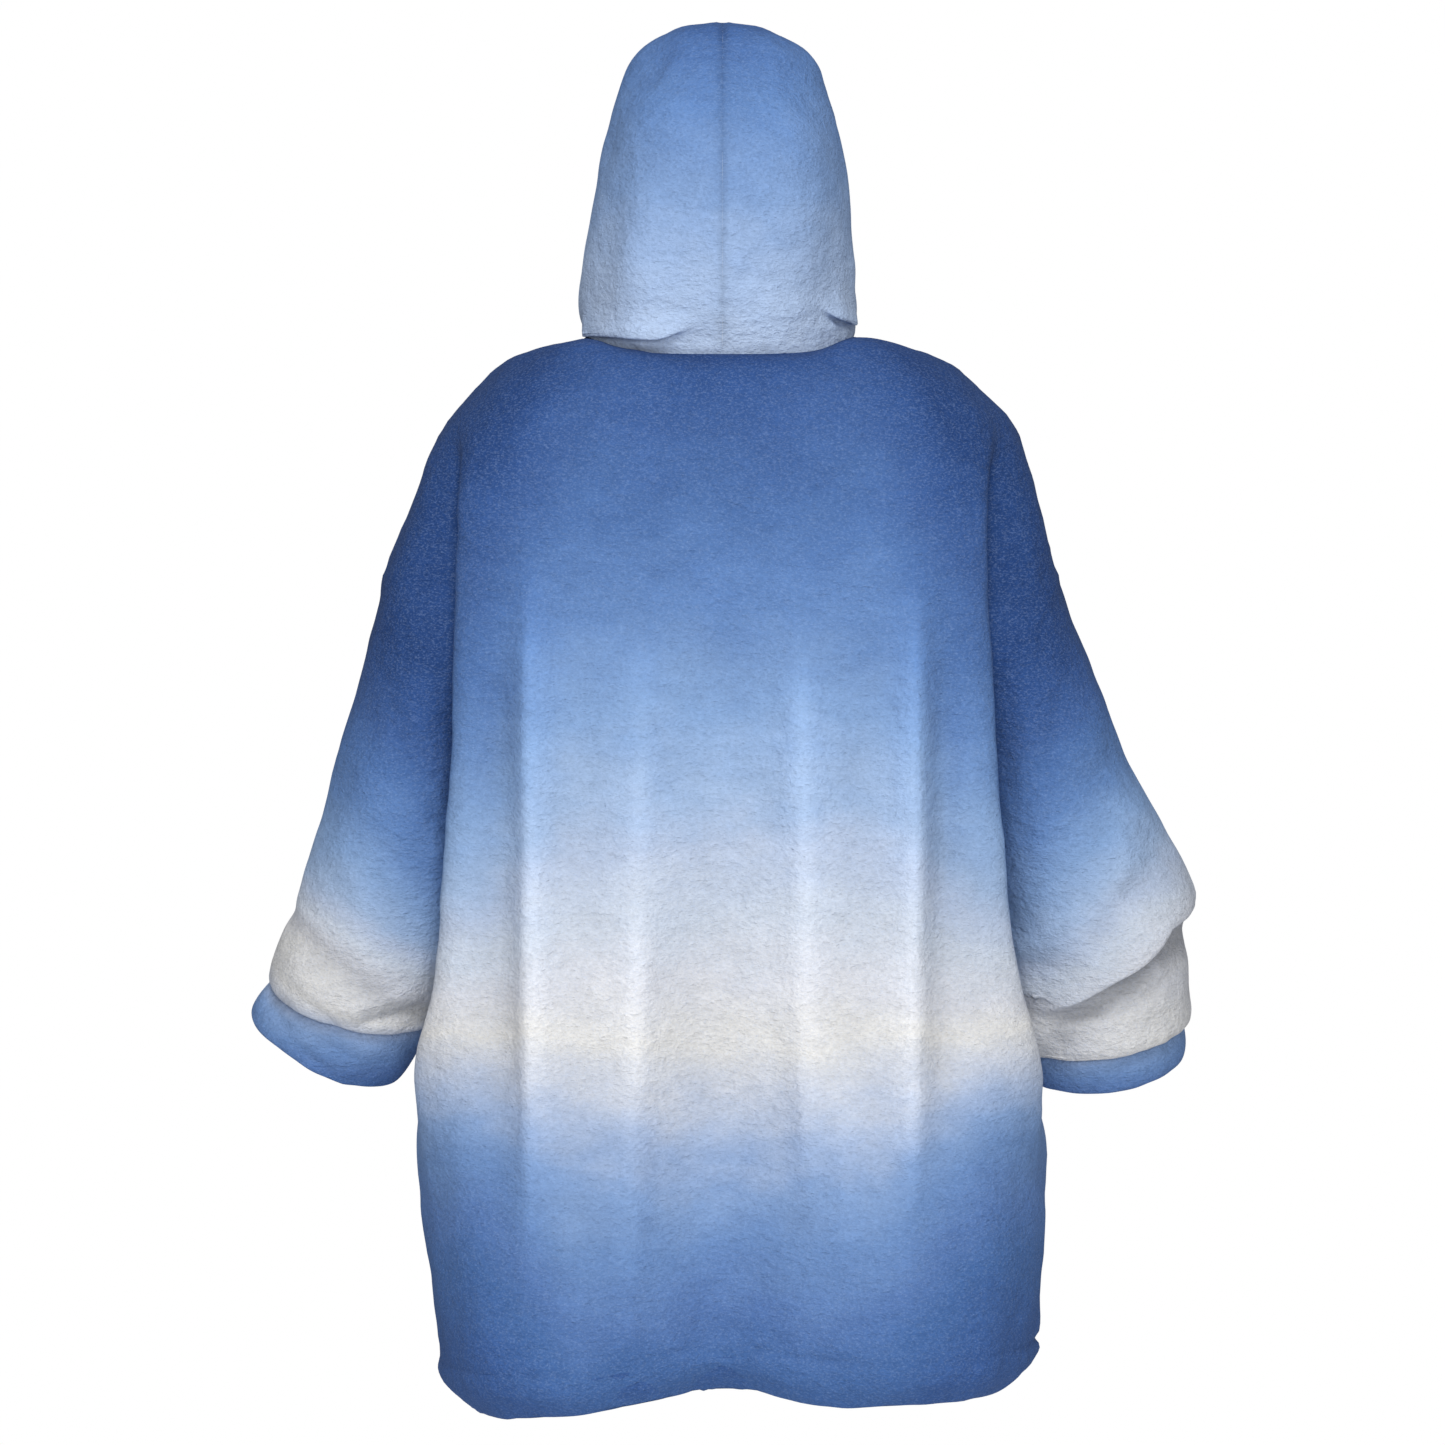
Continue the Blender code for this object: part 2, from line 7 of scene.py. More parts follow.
import bmesh
import bpy
import numpy as np
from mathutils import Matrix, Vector


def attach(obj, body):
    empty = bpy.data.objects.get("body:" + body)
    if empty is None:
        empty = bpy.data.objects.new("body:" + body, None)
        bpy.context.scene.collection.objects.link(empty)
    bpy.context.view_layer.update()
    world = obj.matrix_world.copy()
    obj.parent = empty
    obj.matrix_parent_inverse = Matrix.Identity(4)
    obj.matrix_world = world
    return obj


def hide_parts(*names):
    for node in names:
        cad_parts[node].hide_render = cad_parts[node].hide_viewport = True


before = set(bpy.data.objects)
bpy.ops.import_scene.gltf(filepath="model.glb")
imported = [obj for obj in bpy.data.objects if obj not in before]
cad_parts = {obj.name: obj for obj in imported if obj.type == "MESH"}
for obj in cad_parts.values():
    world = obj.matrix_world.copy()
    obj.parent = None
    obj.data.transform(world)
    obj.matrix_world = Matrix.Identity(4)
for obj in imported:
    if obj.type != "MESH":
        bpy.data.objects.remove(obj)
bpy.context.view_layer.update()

bl_info = {
    "name": "Plush hoodie",
    "version": (1, 0, 0),
    "blender": (4, 5, 0),
    "location": "3D View > Sidebar > Hoodie",
    "description": "Builds the fleece pieces, seams and studio of an oversized plush hoodie",
    "category": "Object",
}

# Steps of the cloth's grid: between two columns of the back's sections from the centre to the side,
# between two sections, between two rings of a sleeve or a band, and between two sections of the hood.
PANEL_STEPS = (15, 14, 13, 7, 6, 9, 8)
ROW_STEPS = 14
SLEEVE_STEPS = 12
BAND_STEPS = 3
HOOD_STEPS = (26, 13, 13, 13, 13, 13)
# The section of the back, counted from the neck seam, at which armhole and side seam meet.
UNDERARM_ROW = 7

# Sections of the back, from the shoulder line down. Each has the depth and height at the centre,
# then (x, y, z) at: inner back, outer back, blade, fold edge, groove, arm, and armhole or side seam.
BACK = (
    ((0.108, -0.030), (0.070, 0.098, -0.022), (0.126, 0.062, -0.004), (0.180, 0.046, -0.020),
     (0.215, 0.046, -0.050), (0.240, 0.044, -0.084), (0.264, 0.040, -0.140), (0.286, 0.035, -0.208)),
    ((0.122, -0.062), (0.070, 0.119, -0.055), (0.132, 0.106, -0.046), (0.184, 0.094, -0.056),
     (0.218, 0.082, -0.080), (0.228, 0.066, -0.104), (0.254, 0.062, -0.158), (0.278, 0.058, -0.224)),
    ((0.130, -0.120), (0.072, 0.131, -0.118), (0.140, 0.127, -0.116), (0.194, 0.117, -0.122),
     (0.220, 0.101, -0.132), (0.213, 0.074, -0.148), (0.240, 0.071, -0.190), (0.267, 0.072, -0.242)),
    ((0.133, -0.190), (0.074, 0.136, -0.190), (0.144, 0.133, -0.190), (0.200, 0.124, -0.192),
     (0.222, 0.107, -0.198), (0.212, 0.082, -0.210), (0.230, 0.078, -0.234), (0.252, 0.081, -0.262)),
    ((0.135, -0.260), (0.075, 0.140, -0.260), (0.146, 0.137, -0.260), (0.204, 0.128, -0.262),
     (0.225, 0.110, -0.264), (0.214, 0.088, -0.270), (0.221, 0.080, -0.278), (0.235, 0.078, -0.288)),
    ((0.137, -0.330), (0.076, 0.144, -0.330), (0.147, 0.141, -0.330), (0.206, 0.131, -0.330),
     (0.228, 0.112, -0.331), (0.217, 0.089, -0.333), (0.207, 0.068, -0.336), (0.206, 0.046, -0.340)),
    ((0.139, -0.395), (0.076, 0.148, -0.395), (0.147, 0.145, -0.395), (0.208, 0.134, -0.395),
     (0.231, 0.114, -0.395), (0.216, 0.087, -0.393), (0.191, 0.045, -0.386), (0.180, 0.000, -0.376)),
    ((0.141, -0.470), (0.076, 0.153, -0.470), (0.147, 0.151, -0.470), (0.211, 0.138, -0.470),
     (0.236, 0.116, -0.470), (0.216, 0.084, -0.468), (0.176, 0.040, -0.464), (0.160, 0.000, -0.460)),
    ((0.143, -0.550), (0.076, 0.159, -0.550), (0.147, 0.159, -0.550), (0.216, 0.143, -0.550),
     (0.244, 0.117, -0.550), (0.225, 0.082, -0.550), (0.188, 0.038, -0.550), (0.176, 0.000, -0.550)),
    ((0.145, -0.622), (0.076, 0.165, -0.622), (0.147, 0.168, -0.622), (0.220, 0.150, -0.622),
     (0.260, 0.112, -0.622), (0.254, 0.074, -0.622), (0.240, 0.036, -0.624), (0.234, 0.000, -0.626)),
    ((0.147, -0.692), (0.076, 0.171, -0.694), (0.146, 0.177, -0.694), (0.216, 0.156, -0.692),
     (0.252, 0.116, -0.692), (0.265, 0.076, -0.692), (0.270, 0.037, -0.692), (0.271, 0.000, -0.692)),
    ((0.149, -0.776), (0.075, 0.177, -0.782), (0.145, 0.188, -0.786), (0.214, 0.165, -0.786),
     (0.248, 0.122, -0.784), (0.262, 0.080, -0.784), (0.267, 0.039, -0.784), (0.268, 0.000, -0.784)),
    ((0.150, -0.850), (0.072, 0.176, -0.858), (0.142, 0.198, -0.866), (0.206, 0.170, -0.872),
     (0.236, 0.124, -0.874), (0.250, 0.082, -0.875), (0.257, 0.040, -0.875), (0.258, 0.000, -0.875)),
)
# The neck seam round the wearer's left side: x, y, z from the centre back to the centre front.
NECK = ((0.000, 0.086, -0.014), (0.074, 0.066, -0.010), (0.120, 0.000, 0.007),
        (0.078, -0.072, -0.026), (0.000, -0.104, -0.056))
# The shoulder line from the neck seam to the top of the armhole: x, y, z.
SHOULDER = ((0.120, 0.000, 0.007), (0.180, 0.000, -0.009), (0.215, 0.000, -0.037),
            (0.244, 0.000, -0.072), (0.268, 0.000, -0.134), (0.290, 0.000, -0.200))

# The front is the back's cut with less depth and a lower neck.
FRONT_DEPTH = 0.92
FRONT_DROP = ((0.036, 0.014), (0.026, 0.010), (0.010, 0.004))
# The sleeves hang forward, so the front is drawn in beside the cuffs: share of x, height and reach.
FRONT_NARROW = 0.13
FRONT_NARROW_Z = -0.60
FRONT_NARROW_REACH = 0.085

# The garment stands a little wider on one side: height, scale of x on the left and on the right.
STANCE = ((0.26, 1.00, 1.01), (0.15, 0.99, 0.99), (0.05, 0.99, 0.93), (0.00, 1.01, 0.97),
          (-0.02, 1.00, 1.045), (-0.06, 1.00, 1.05), (-0.14, 1.01, 1.02), (-0.20, 1.02, 1.01),
          (-0.35, 1.00, 1.01), (-0.60, 1.00, 1.04), (-0.66, 0.99, 1.04), (-0.72, 0.965, 1.02),
          (-0.80, 0.945, 1.035), (-0.95, 0.955, 1.060))
# The hem hangs higher at the right side: lift, and the stretches of x and z over which it grows.
HEM_LIFT = 0.016
HEM_LIFT_ACROSS = (0.06, 0.24)
HEM_LIFT_DOWN = (0.55, 0.88)

# Large folds of each panel: x at the top and at the bottom, z at the top and at the bottom, half
# width and height. The first ones of the back are the folds of the solids.
FOLDS = {
    "back": (
        (0.158, 0.156, -0.16, -0.80, 0.016, 0.015), (0.188, 0.187, -0.20, -0.78, 0.018, -0.009),
        (0.066, 0.076, -0.22, -0.76, 0.022, 0.009), (-0.064, -0.074, -0.22, -0.76, 0.022, 0.009),
        (-0.160, -0.156, -0.16, -0.78, 0.017, 0.014), (-0.190, -0.186, -0.20, -0.74, 0.015, -0.008),
        (-0.100, -0.106, -0.60, -0.82, 0.016, 0.005),
    ),
    "front": (
        (0.150, 0.146, -0.18, -0.80, 0.019, 0.013), (0.058, 0.070, -0.24, -0.76, 0.022, 0.008),
        (-0.068, -0.060, -0.22, -0.76, 0.024, 0.008), (-0.154, -0.150, -0.18, -0.80, 0.018, 0.012),
    ),
}
# Each fold rises over the first share of its length and dies away over the last. None goes over the
# outer columns.
FOLD_START = (0.0, 0.25)
FOLD_END = (1.0, 0.60)
FOLD_COLUMNS = (4.0, 3.0)

# Sleeves: the line through the middle (x, y, z) and rings along it (distance from the armhole,
# outward and backward radius). Both x are given as on the left side.
SLEEVE_MIDDLE = {
    "left": ((0.240, 0.000, -0.288), (0.268, -0.010, -0.400), (0.294, -0.024, -0.500),
             (0.318, -0.038, -0.550), (0.326, -0.060, -0.604)),
    "right": ((0.238, 0.000, -0.288), (0.283, -0.010, -0.400), (0.320, -0.024, -0.490),
              (0.328, -0.043, -0.576), (0.340, -0.064, -0.640)),
}
SLEEVE_RINGS = {
    "left": ((0.000, 0.100, 0.100), (0.050, 0.096, 0.098), (0.100, 0.090, 0.094),
             (0.150, 0.085, 0.091), (0.200, 0.082, 0.088), (0.235, 0.079, 0.087),
             (0.258, 0.077, 0.088), (0.273, 0.077, 0.088), (0.284, 0.078, 0.084),
             (0.291, 0.075, 0.078), (0.293, 0.070, 0.072)),
    "right": ((0.000, 0.100, 0.100), (0.050, 0.095, 0.098), (0.100, 0.090, 0.095),
              (0.150, 0.087, 0.093), (0.190, 0.088, 0.093), (0.228, 0.092, 0.097),
              (0.264, 0.085, 0.088), (0.294, 0.084, 0.087), (0.315, 0.081, 0.084),
              (0.323, 0.075, 0.078), (0.325, 0.070, 0.072)),
}
# Points that the line is worked out at, and the distance over which its direction is taken.
MIDDLE_POINTS = 121
MIDDLE_STEP = 0.01
# Distance over which a sleeve's rings pass from the armhole's outline to their own.
ARMHOLE_REACH = 0.26

# Tucks round each sleeve: distance from the armhole, turn from the outer side (degrees, back is 90),
# half length along, half width in turn, height, slant along for the quarter turn after that place,
# and how far the cloth slides down over what lies below it.
TUCKS = {
    "left": (
        (0.252, 80.0, 0.012, 70.0, -0.006, 0.020, 0.000),
        (0.120, 70.0, 0.022, 60.0, 0.004, 0.050, 0.000),
        (0.245, 260.0, 0.014, 60.0, -0.006, 0.020, 0.000),
    ),
    "right": (
        (0.246, 50.0, 0.014, 75.0, -0.013, 0.074, 0.000),
        (0.217, 50.0, 0.012, 68.0, 0.008, 0.080, 0.022),
        (0.264, 132.0, 0.010, 24.0, 0.005, -0.008, 0.015),
        (0.292, 112.0, 0.007, 34.0, -0.006, 0.000, 0.000),
        (0.100, 60.0, 0.020, 60.0, 0.004, 0.060, 0.000),
        (0.245, 250.0, 0.014, 60.0, -0.006, 0.020, 0.000),
    ),
}
# Painted shadow in the hollow of a tuck, below the cloth that hangs over it: times its depth that it
# counts for.
TUCK_PAINTED_SHADOW = 2.2
# The sleeve's end swells over its cuff: how far it hangs over, the length that does, and the shares
# of it over which this dies away at the cuff and starts above it.
BLOUSE_DROP = {"left": 0.007, "right": 0.011}
BLOUSE_LENGTH = 0.030
BLOUSE_END = (0.0, 0.25)
BLOUSE_START = (1.0, 0.45)

# Cuffs and hem band below their seams: distance down and inward from the seam. The last rings
# turn in at the fold and run back up inside.
CUFF_PROFILE = ((0.000, 0.000), (0.009, -0.003), (0.021, -0.003), (0.032, -0.001), (0.037, 0.001),
                (0.0385, 0.0035), (0.037, 0.006), (0.030, 0.007), (0.018, 0.007), (0.008, 0.006))
# How a band hangs: scale of its length, the share by which it is shorter at the outer and at the
# inner side, and how far it flares at the outer and at the inner side. A level one keeps its length.
LEVEL_SHAPE = (1.0, 0.0, 0.0, 0.0, 0.0)
CUFF_SHAPE = {"left": (1.52, 0.46, -0.16, 0.020, -0.016), "right": LEVEL_SHAPE}
BAND_PROFILE = ((0.000, 0.000), (0.008, -0.0015), (0.020, 0.003), (0.031, 0.014), (0.0365, 0.0215),
                (0.0385, 0.0265), (0.036, 0.0285), (0.028, 0.019), (0.018, 0.010), (0.008, 0.006))

# Sections of the hood's left half from the neck seam to the crown: x, y, z at the centre seam,
# back, side, cheek and face edge.
HOOD = (
    ((0.000, 0.108, 0.036), (0.076, 0.080, 0.038), (0.121, 0.000, 0.044), (0.114, -0.070, 0.022),
     (0.052, -0.112, -0.006)),
    ((0.000, 0.117, 0.100), (0.078, 0.086, 0.100), (0.115, 0.004, 0.104), (0.110, -0.072, 0.086),
     (0.084, -0.122, 0.066)),
    ((0.000, 0.110, 0.168), (0.070, 0.082, 0.166), (0.105, 0.006, 0.164), (0.102, -0.070, 0.150),
     (0.090, -0.126, 0.136)),
    ((0.000, 0.084, 0.226), (0.054, 0.066, 0.224), (0.089, 0.008, 0.218), (0.090, -0.066, 0.206),
     (0.082, -0.130, 0.194)),
    ((0.000, 0.050, 0.262), (0.036, 0.038, 0.266), (0.067, 0.000, 0.260), (0.070, -0.066, 0.252),
     (0.064, -0.132, 0.238)),
    ((0.000, 0.022, 0.276), (0.000, -0.006, 0.282), (0.000, -0.050, 0.285), (0.000, -0.094, 0.280),
     (0.000, -0.134, 0.266)),
)
# Dents and swells of the hood: x, y, z, reach and height.
HOOD_DENTS = (
    (0.060, 0.050, 0.236, 0.030, -0.005),
    (0.040, 0.080, 0.200, 0.026, 0.003),
    (0.034, -0.030, 0.274, 0.028, 0.007),
    (-0.033, -0.030, 0.274, 0.028, 0.007),
    (-0.050, 0.070, 0.214, 0.024, -0.003),
    (-0.080, 0.050, 0.150, 0.040, 0.003),
    (0.070, 0.080, 0.040, 0.030, 0.005),
    (-0.090, 0.060, 0.020, 0.020, -0.004),
)

# Creases, placed on each piece, by side (1 back, -1 front): x and z of the start and of the end as seen
# from that side, half width, height, and, for an overhanging one, how far the cloth slides down over
# what lies below it. A crease is drawn only on cloth that faces its side.
CREASES = {
    ("back_panel", 1): (
        (0.12, -0.04, 0.04, -0.11, 0.01, 0.0018), (0.15, -0.07, 0.07, -0.16, 0.012, -0.0016),
        (-0.11, -0.04, -0.03, -0.09, 0.01, 0.0016), (-0.17, -0.08, -0.08, -0.17, 0.012, -0.0016),
        (0.11, -0.3, 0.106, -0.52, 0.012, -0.0022), (-0.112, -0.28, -0.118, -0.56, 0.013, -0.0024),
        (0.01, -0.38, 0.02, -0.7, 0.02, -0.002), (-0.03, -0.42, -0.028, -0.7, 0.016, 0.0016),
        (0.205, -0.42, 0.212, -0.62, 0.01, -0.002), (-0.21, -0.4, -0.216, -0.6, 0.01, -0.0022),
        (0.165, -0.16, 0.16, -0.86, 0.006, 0.0034), (0.186, -0.36, 0.184, -0.84, 0.018, -0.0026),
        (0.069, -0.26, 0.078, -0.88, 0.012, 0.0044), (-0.066, -0.2, -0.074, -0.8, 0.012, 0.0044),
        (-0.161, -0.21, -0.156, -0.82, 0.008, 0.0034),
        (-0.182, -0.26, -0.178, -0.74, 0.012, -0.002),
    ),
    ("hood_left", 1): (
        (0.16, 0.025, 0.024, 0.01, 0.0065, 0.006, 0.014), (0.156, 0.01, 0.04, 0.0, 0.0045, -0.005),
        (0.02, 0.236, 0.05, 0.204, 0.006, -0.0016), (0.07, 0.246, 0.04, 0.262, 0.006, -0.0018),
        (0.06, 0.214, 0.086, 0.176, 0.008, 0.0018), (0.1, 0.06, 0.086, 0.14, 0.01, -0.0014),
    ),
    ("hood_right", 1): (
        (-0.082, 0.033, -0.15, 0.019, 0.0055, 0.004, 0.011),
        (-0.088, 0.022, -0.145, 0.01, 0.004, -0.0045), (-0.012, 0.25, -0.04, 0.222, 0.006, -0.0018),
        (-0.03, 0.262, -0.062, 0.236, 0.006, 0.0016), (-0.066, 0.15, -0.08, 0.09, 0.01, -0.0014),
        (-0.04, 0.02, -0.086, 0.028, 0.007, 0.0016),
    ),
    ("sleeve_left", 1): (
        (0.322, -0.592, 0.246, -0.572, 0.005, -0.0034), (0.33, -0.578, 0.262, -0.56, 0.006, 0.0022),
        (0.388, -0.546, 0.33, -0.592, 0.006, -0.0016), (0.3, -0.26, 0.262, -0.38, 0.01, -0.002),
        (0.34, -0.4, 0.3, -0.5, 0.012, 0.002),
    ),
    ("cuff_left", 1): (
        (0.398, -0.566, 0.376, -0.602, 0.006, -0.003), (0.38, -0.6, 0.33, -0.644, 0.006, -0.0028),
        (0.368, -0.594, 0.314, -0.617, 0.004, -0.002), (0.34, -0.606, 0.276, -0.612, 0.005, 0.0016),
    ),
    ("cuff_right", 1): (
        (-0.38, -0.606, -0.33, -0.63, 0.005, -0.002), (-0.35, -0.626, -0.29, -0.622, 0.005, 0.0018),
    ),
    ("sleeve_right", 1): (
        (-0.394, -0.545, -0.33, -0.59, 0.006, -0.003),
        (-0.36, -0.58, -0.282, -0.596, 0.006, 0.0026), (-0.3, -0.25, -0.27, -0.4, 0.01, -0.002),
        (-0.35, -0.38, -0.33, -0.5, 0.014, 0.0022), (-0.38, -0.44, -0.3, -0.53, 0.01, -0.0024),
    ),
    ("front_panel", -1): (
        (0.12, -0.06, 0.05, -0.13, 0.012, -0.0018), (-0.12, -0.06, -0.04, -0.14, 0.012, 0.0018),
        (0.104, -0.3, 0.1, -0.56, 0.013, -0.0024), (-0.11, -0.3, -0.104, -0.54, 0.013, -0.0022),
        (0.0, -0.36, -0.006, -0.64, 0.018, -0.0022),
    ),
    ("sleeve_left", -1): (
        (0.35, -0.56, 0.27, -0.54, 0.007, -0.0028), (0.32, -0.3, 0.29, -0.44, 0.012, 0.0022),
    ),
    ("sleeve_right", -1): (
        (-0.352, -0.556, -0.274, -0.542, 0.007, -0.0028),
        (-0.316, -0.3, -0.296, -0.43, 0.012, 0.0022),
    ),
}

# The shares of a crease's length over which it rises and dies away, and how squarely the cloth has
# to face the crease's side for all of it to show.
CREASE_START = (-0.05, 0.25)
CREASE_END = (1.05, 0.75)
CREASE_FACING = 0.35

# How unevenly folds and creases stand out along their length: share, size of the places, and seed.
UNEVEN_SHARE = 0.40
UNEVEN_SIZE = 0.110
UNEVEN_SEED = 71
# Crumple of the plush all over: size of the dimples, height, and seed.
CRUMPLE = ((0.070, 0.0022, 3), (0.034, 0.0013, 11), (0.017, 0.0007, 29))
# Sewn edges sink in: half width of the groove, and the height, length, reach and seeds of the
# coarse and fine ripples that the thread draws beside it. Relief ends this far from the edge.
GROOVE_REACH = 0.0045
PUCKER_HEIGHT = 0.0008
PUCKER_LENGTH = 0.016
PUCKER_REACH = 0.012
PUCKER_SEEDS = (47, 53)
SEAM_FLAT = 0.008
# A seam's groove is painted darker, partly as painted shade in the groove and partly for the parted
# pile: times its depth that a groove counts for.
SEAM_PAINTED_SHADE = 6.0
# Least rise of the hood's halves away from the middle for each unit of distance from their seams,
# and the distance over which it holds.
OPENING_SLOPE = 0.5
OPENING_REACH = 0.008

# The edges of each sheet that are sewn to another, and the depth of the groove there. Where two
# sheets give a depth, the smaller one holds.
PANEL_EDGES = {"top": 0.0018, "bottom": 0.0008, "start": 0.0012, "end": 0.0012}
SLEEVE_EDGES = {"top": 0.0003, "bottom": 0.0022}
CUFF_EDGES = {"top": 0.0022}
HOOD_EDGES = {"top": 0.0018, "bottom": 0.0028, "start": 0.0024}
SEAMS = {
    "back_panel": PANEL_EDGES, "front_panel": PANEL_EDGES, "hem_band": {"top": 0.0008},
    "sleeve_left": SLEEVE_EDGES, "sleeve_right": SLEEVE_EDGES,
    "cuff_left": CUFF_EDGES, "cuff_right": CUFF_EDGES,
    "hood_left": HOOD_EDGES, "hood_right": HOOD_EDGES,
}
# Sheets whose surface runs on over the seam between them.
FORMS = {"back_panel": "body", "front_panel": "body", "hood_left": "hood", "hood_right": "hood"}

# Dip-dyed colours of the garment and of its hood: level in the dye in metres, and the sRGB colour.
GARMENT_DYE = (
    (0.00, "#27467F"), (0.05, "#355692"), (0.11, "#41629D"), (0.18, "#5175AF"),
    (0.25, "#678BC2"), (0.33, "#89A9D6"), (0.40, "#A5BDDF"), (0.45, "#BDCBE3"),
    (0.50, "#CFD8E6"), (0.56, "#DCDEE5"), (0.61, "#E6E5E3"), (0.65, "#D3D8E3"),
    (0.70, "#ADBFDE"), (0.745, "#86A4D2"), (0.79, "#6F91C5"), (0.85, "#5B7DB7"),
    (0.90, "#4A6FAA"), (0.98, "#3F62A0"),
)
HOOD_DYE = ((0.00, "#C0D2ED"), (0.06, "#AFC6E9"), (0.13, "#89A8D7"), (0.22, "#688DC6"),
            (0.31, "#476CAB"))
# Level in the dye down a sleeve, which was dipped askew: depth below the shoulders, level. Depths
# count for more towards the outer side: by how much for each metre, and from which x on.
SLEEVE_LEVELS = {
    "left": ((0.200, 0.02), (0.245, 0.04), (0.300, 0.12), (0.350, 0.21), (0.390, 0.26),
             (0.455, 0.37), (0.520, 0.49), (0.584, 0.59), (0.600, 0.61), (0.610, 0.66),
             (0.620, 0.72), (0.630, 0.77), (0.700, 0.92)),
    "right": ((0.200, 0.02), (0.245, 0.05), (0.300, 0.13), (0.350, 0.22), (0.390, 0.28),
              (0.455, 0.38), (0.520, 0.49), (0.590, 0.59), (0.620, 0.61), (0.630, 0.66),
              (0.640, 0.72), (0.650, 0.77), (0.720, 0.92)),
}
SLEEVE_SKEW = 0.85
SLEEVE_SKEW_X = 0.33
# Near the cuff the dye ran level with the seam: depth that the seam counts for, and the distances
# from it over which this starts and ends. The cuffs' own levels at the seam and their growth below.
CUFF_DYE_DEPTH = 0.618
CUFF_DYE_REACH = (0.090, 0.030)
CUFF_LEVEL = {"left": 0.692, "right": 0.712}
CUFF_GAIN = 3.3
# The pale band is narrower at the panels' sides, which are darker partly in their dye and partly as
# painted shade where the cloth turns away: columns over which this starts and ends, the level of the
# band, how far the darker colour reaches towards it, and how soon beside it.
SIDE_DYE_AND_SHADE_COLUMNS = (1.5, 3.2)
PALE_LEVEL = 0.60
SIDE_DYE_AND_SHADE = 0.115
SIDE_DYE_AND_SHADE_REACH = 0.15
# The panels' outer part over the arm is darker, partly in its dye and partly as painted shade beside
# the fold edge: columns and rows over which this starts and ends, and the share of the level that it
# lost.
ARM_DYE_AND_SHADE_COLUMNS = (3.6, 4.6)
ARM_DYE_AND_SHADE_ROWS = (6.0, 9.6)
ARM_DYE_AND_SHADE_SHARE = 0.85
ARM_DYE_AND_SHADE_REACH = 0.16

# The camera stands level and straight behind: its distance, height, the width that it sees at the
# garment, and the width of its sensor in millimetres.
CAMERA_DISTANCE = 4.0
CAMERA_HEIGHT = -0.3284
VIEW_WIDTH = 1.257
SENSOR_MM = 36.0
# Soft lights: place, and side of the square.
KEY_LIGHT = ((0.05, 2.9, 2.2), 1.6)
FRONT_LIGHT = ((-0.1, 4.2, 0.0), 1.4)

# A sheet of cloth: its points, whether it is a tube, the height of its relief, which also sets painted
# shade, and its dye level, with painted shade mixed in at the panels' sides and over the arm.
Sheet = collections.namedtuple("Sheet", "grid closed height level")


def smooth(points, places):
    """Points of the smooth curve through the rows of points, at places counted in rows."""
    points = np.asarray(points, float)
    first = 2 * points[0] - points[1]
    last = 2 * points[-1] - points[-2]
    padded = np.concatenate([[first], points, [last]])
    places = np.asarray(places, float)
    step = np.clip(places.astype(int), 0, len(points) - 2)
    part = (places - step).reshape((-1,) + (1,) * (points.ndim - 1))
    before, start, end, after = (padded[step + k] for k in range(4))
    bend = 2 * before - 5 * start + 4 * end - after
    turn = 3 * (start - end) + after - before
    return start + 0.5 * part * (end - before + part * (bend + part * turn))


def places_along(steps):
    """Places from 0 up, with the given number of steps in each stretch between two rows."""
    stretches = [np.arange(count) / count + number for number, count in enumerate(steps)]
    return np.append(np.concatenate(stretches), len(steps))


def bump(distance):
    """Soft hill: 1 in the middle, about 0 from a distance of 2 on."""
    return np.exp(-np.square(distance))


def fade(value, start, end):
    """Smooth rise from 0 at start to 1 at end."""
    part = np.clip((value - start) / (end - start), 0.0, 1.0)
    return part * part * (3 - 2 * part)


def unit(vectors):
    """Vectors brought to length 1."""
    return vectors / np.maximum(np.linalg.norm(vectors, axis=-1, keepdims=True), 1e-12)


def stance(points):
    """Points moved sideways by the garment's stance at their height."""
    table = np.array(STANCE)[::-1]
    left = np.interp(points[..., 2], table[:, 0], table[:, 1])
    right = np.interp(points[..., 2], table[:, 0], table[:, 2])
    moved = points.copy()
    moved[..., 0] *= np.where(points[..., 0] > 0, left, right)
    lift = fade(-points[..., 0], *HEM_LIFT_ACROSS) * fade(-points[..., 2], *HEM_LIFT_DOWN)
    moved[..., 2] += HEM_LIFT * lift
    return moved


def on_neck(places):
    """Points of the closed neck loop at places counted in its points, from the centre back."""
    left = np.array(NECK)
    loop = np.concatenate([left, left[1:-1][::-1] * (-1, 1, 1)])
    wrapped = np.concatenate([loop[-2:], loop, loop[:3]])
    return smooth(wrapped, np.mod(places, len(loop)) + 2)


def top_edge(across, front):
    """The neck and shoulder edge of a panel at places across, from the left to the right."""
    shoulder = smooth(SHOULDER, np.clip(np.abs(across) - 2, 0, 5))
    shoulder[:, 0] *= -np.sign(across)
    neck_places = 4 + across if front else -across
    return np.where(np.abs(across)[:, None] <= 2, on_neck(neck_places), shoulder)


def panel(front, across):
    """Grid of points of the back or the front panel: rows down, columns from the left to the right."""
    rows = [top_edge(across, front)]
    for number, row in enumerate(BACK):
        half = np.array([(0.0,) + row[0]] + list(row[1:]))
        if front:
            half[:, 1] *= -FRONT_DEPTH
            beside_cuff = bump((half[3:6, 2] - FRONT_NARROW_Z) / FRONT_NARROW_REACH)
            half[3:6, 0] *= 1 - FRONT_NARROW * beside_cuff
            if number < len(FRONT_DROP):
                half[:2, 2] -= FRONT_DROP[number][0]
                half[2, 2] -= FRONT_DROP[number][1]
        whole = np.concatenate([half[::-1], half[1:] * (-1, 1, 1)])
        rows.append(smooth(whole, across + 7))
    grid = smooth(np.array(rows), places_along((ROW_STEPS,) * (len(rows) - 1)))
    grid[UNDERARM_ROW * ROW_STEPS:, (0, -1), 1] = 0.0
    return stance(grid)


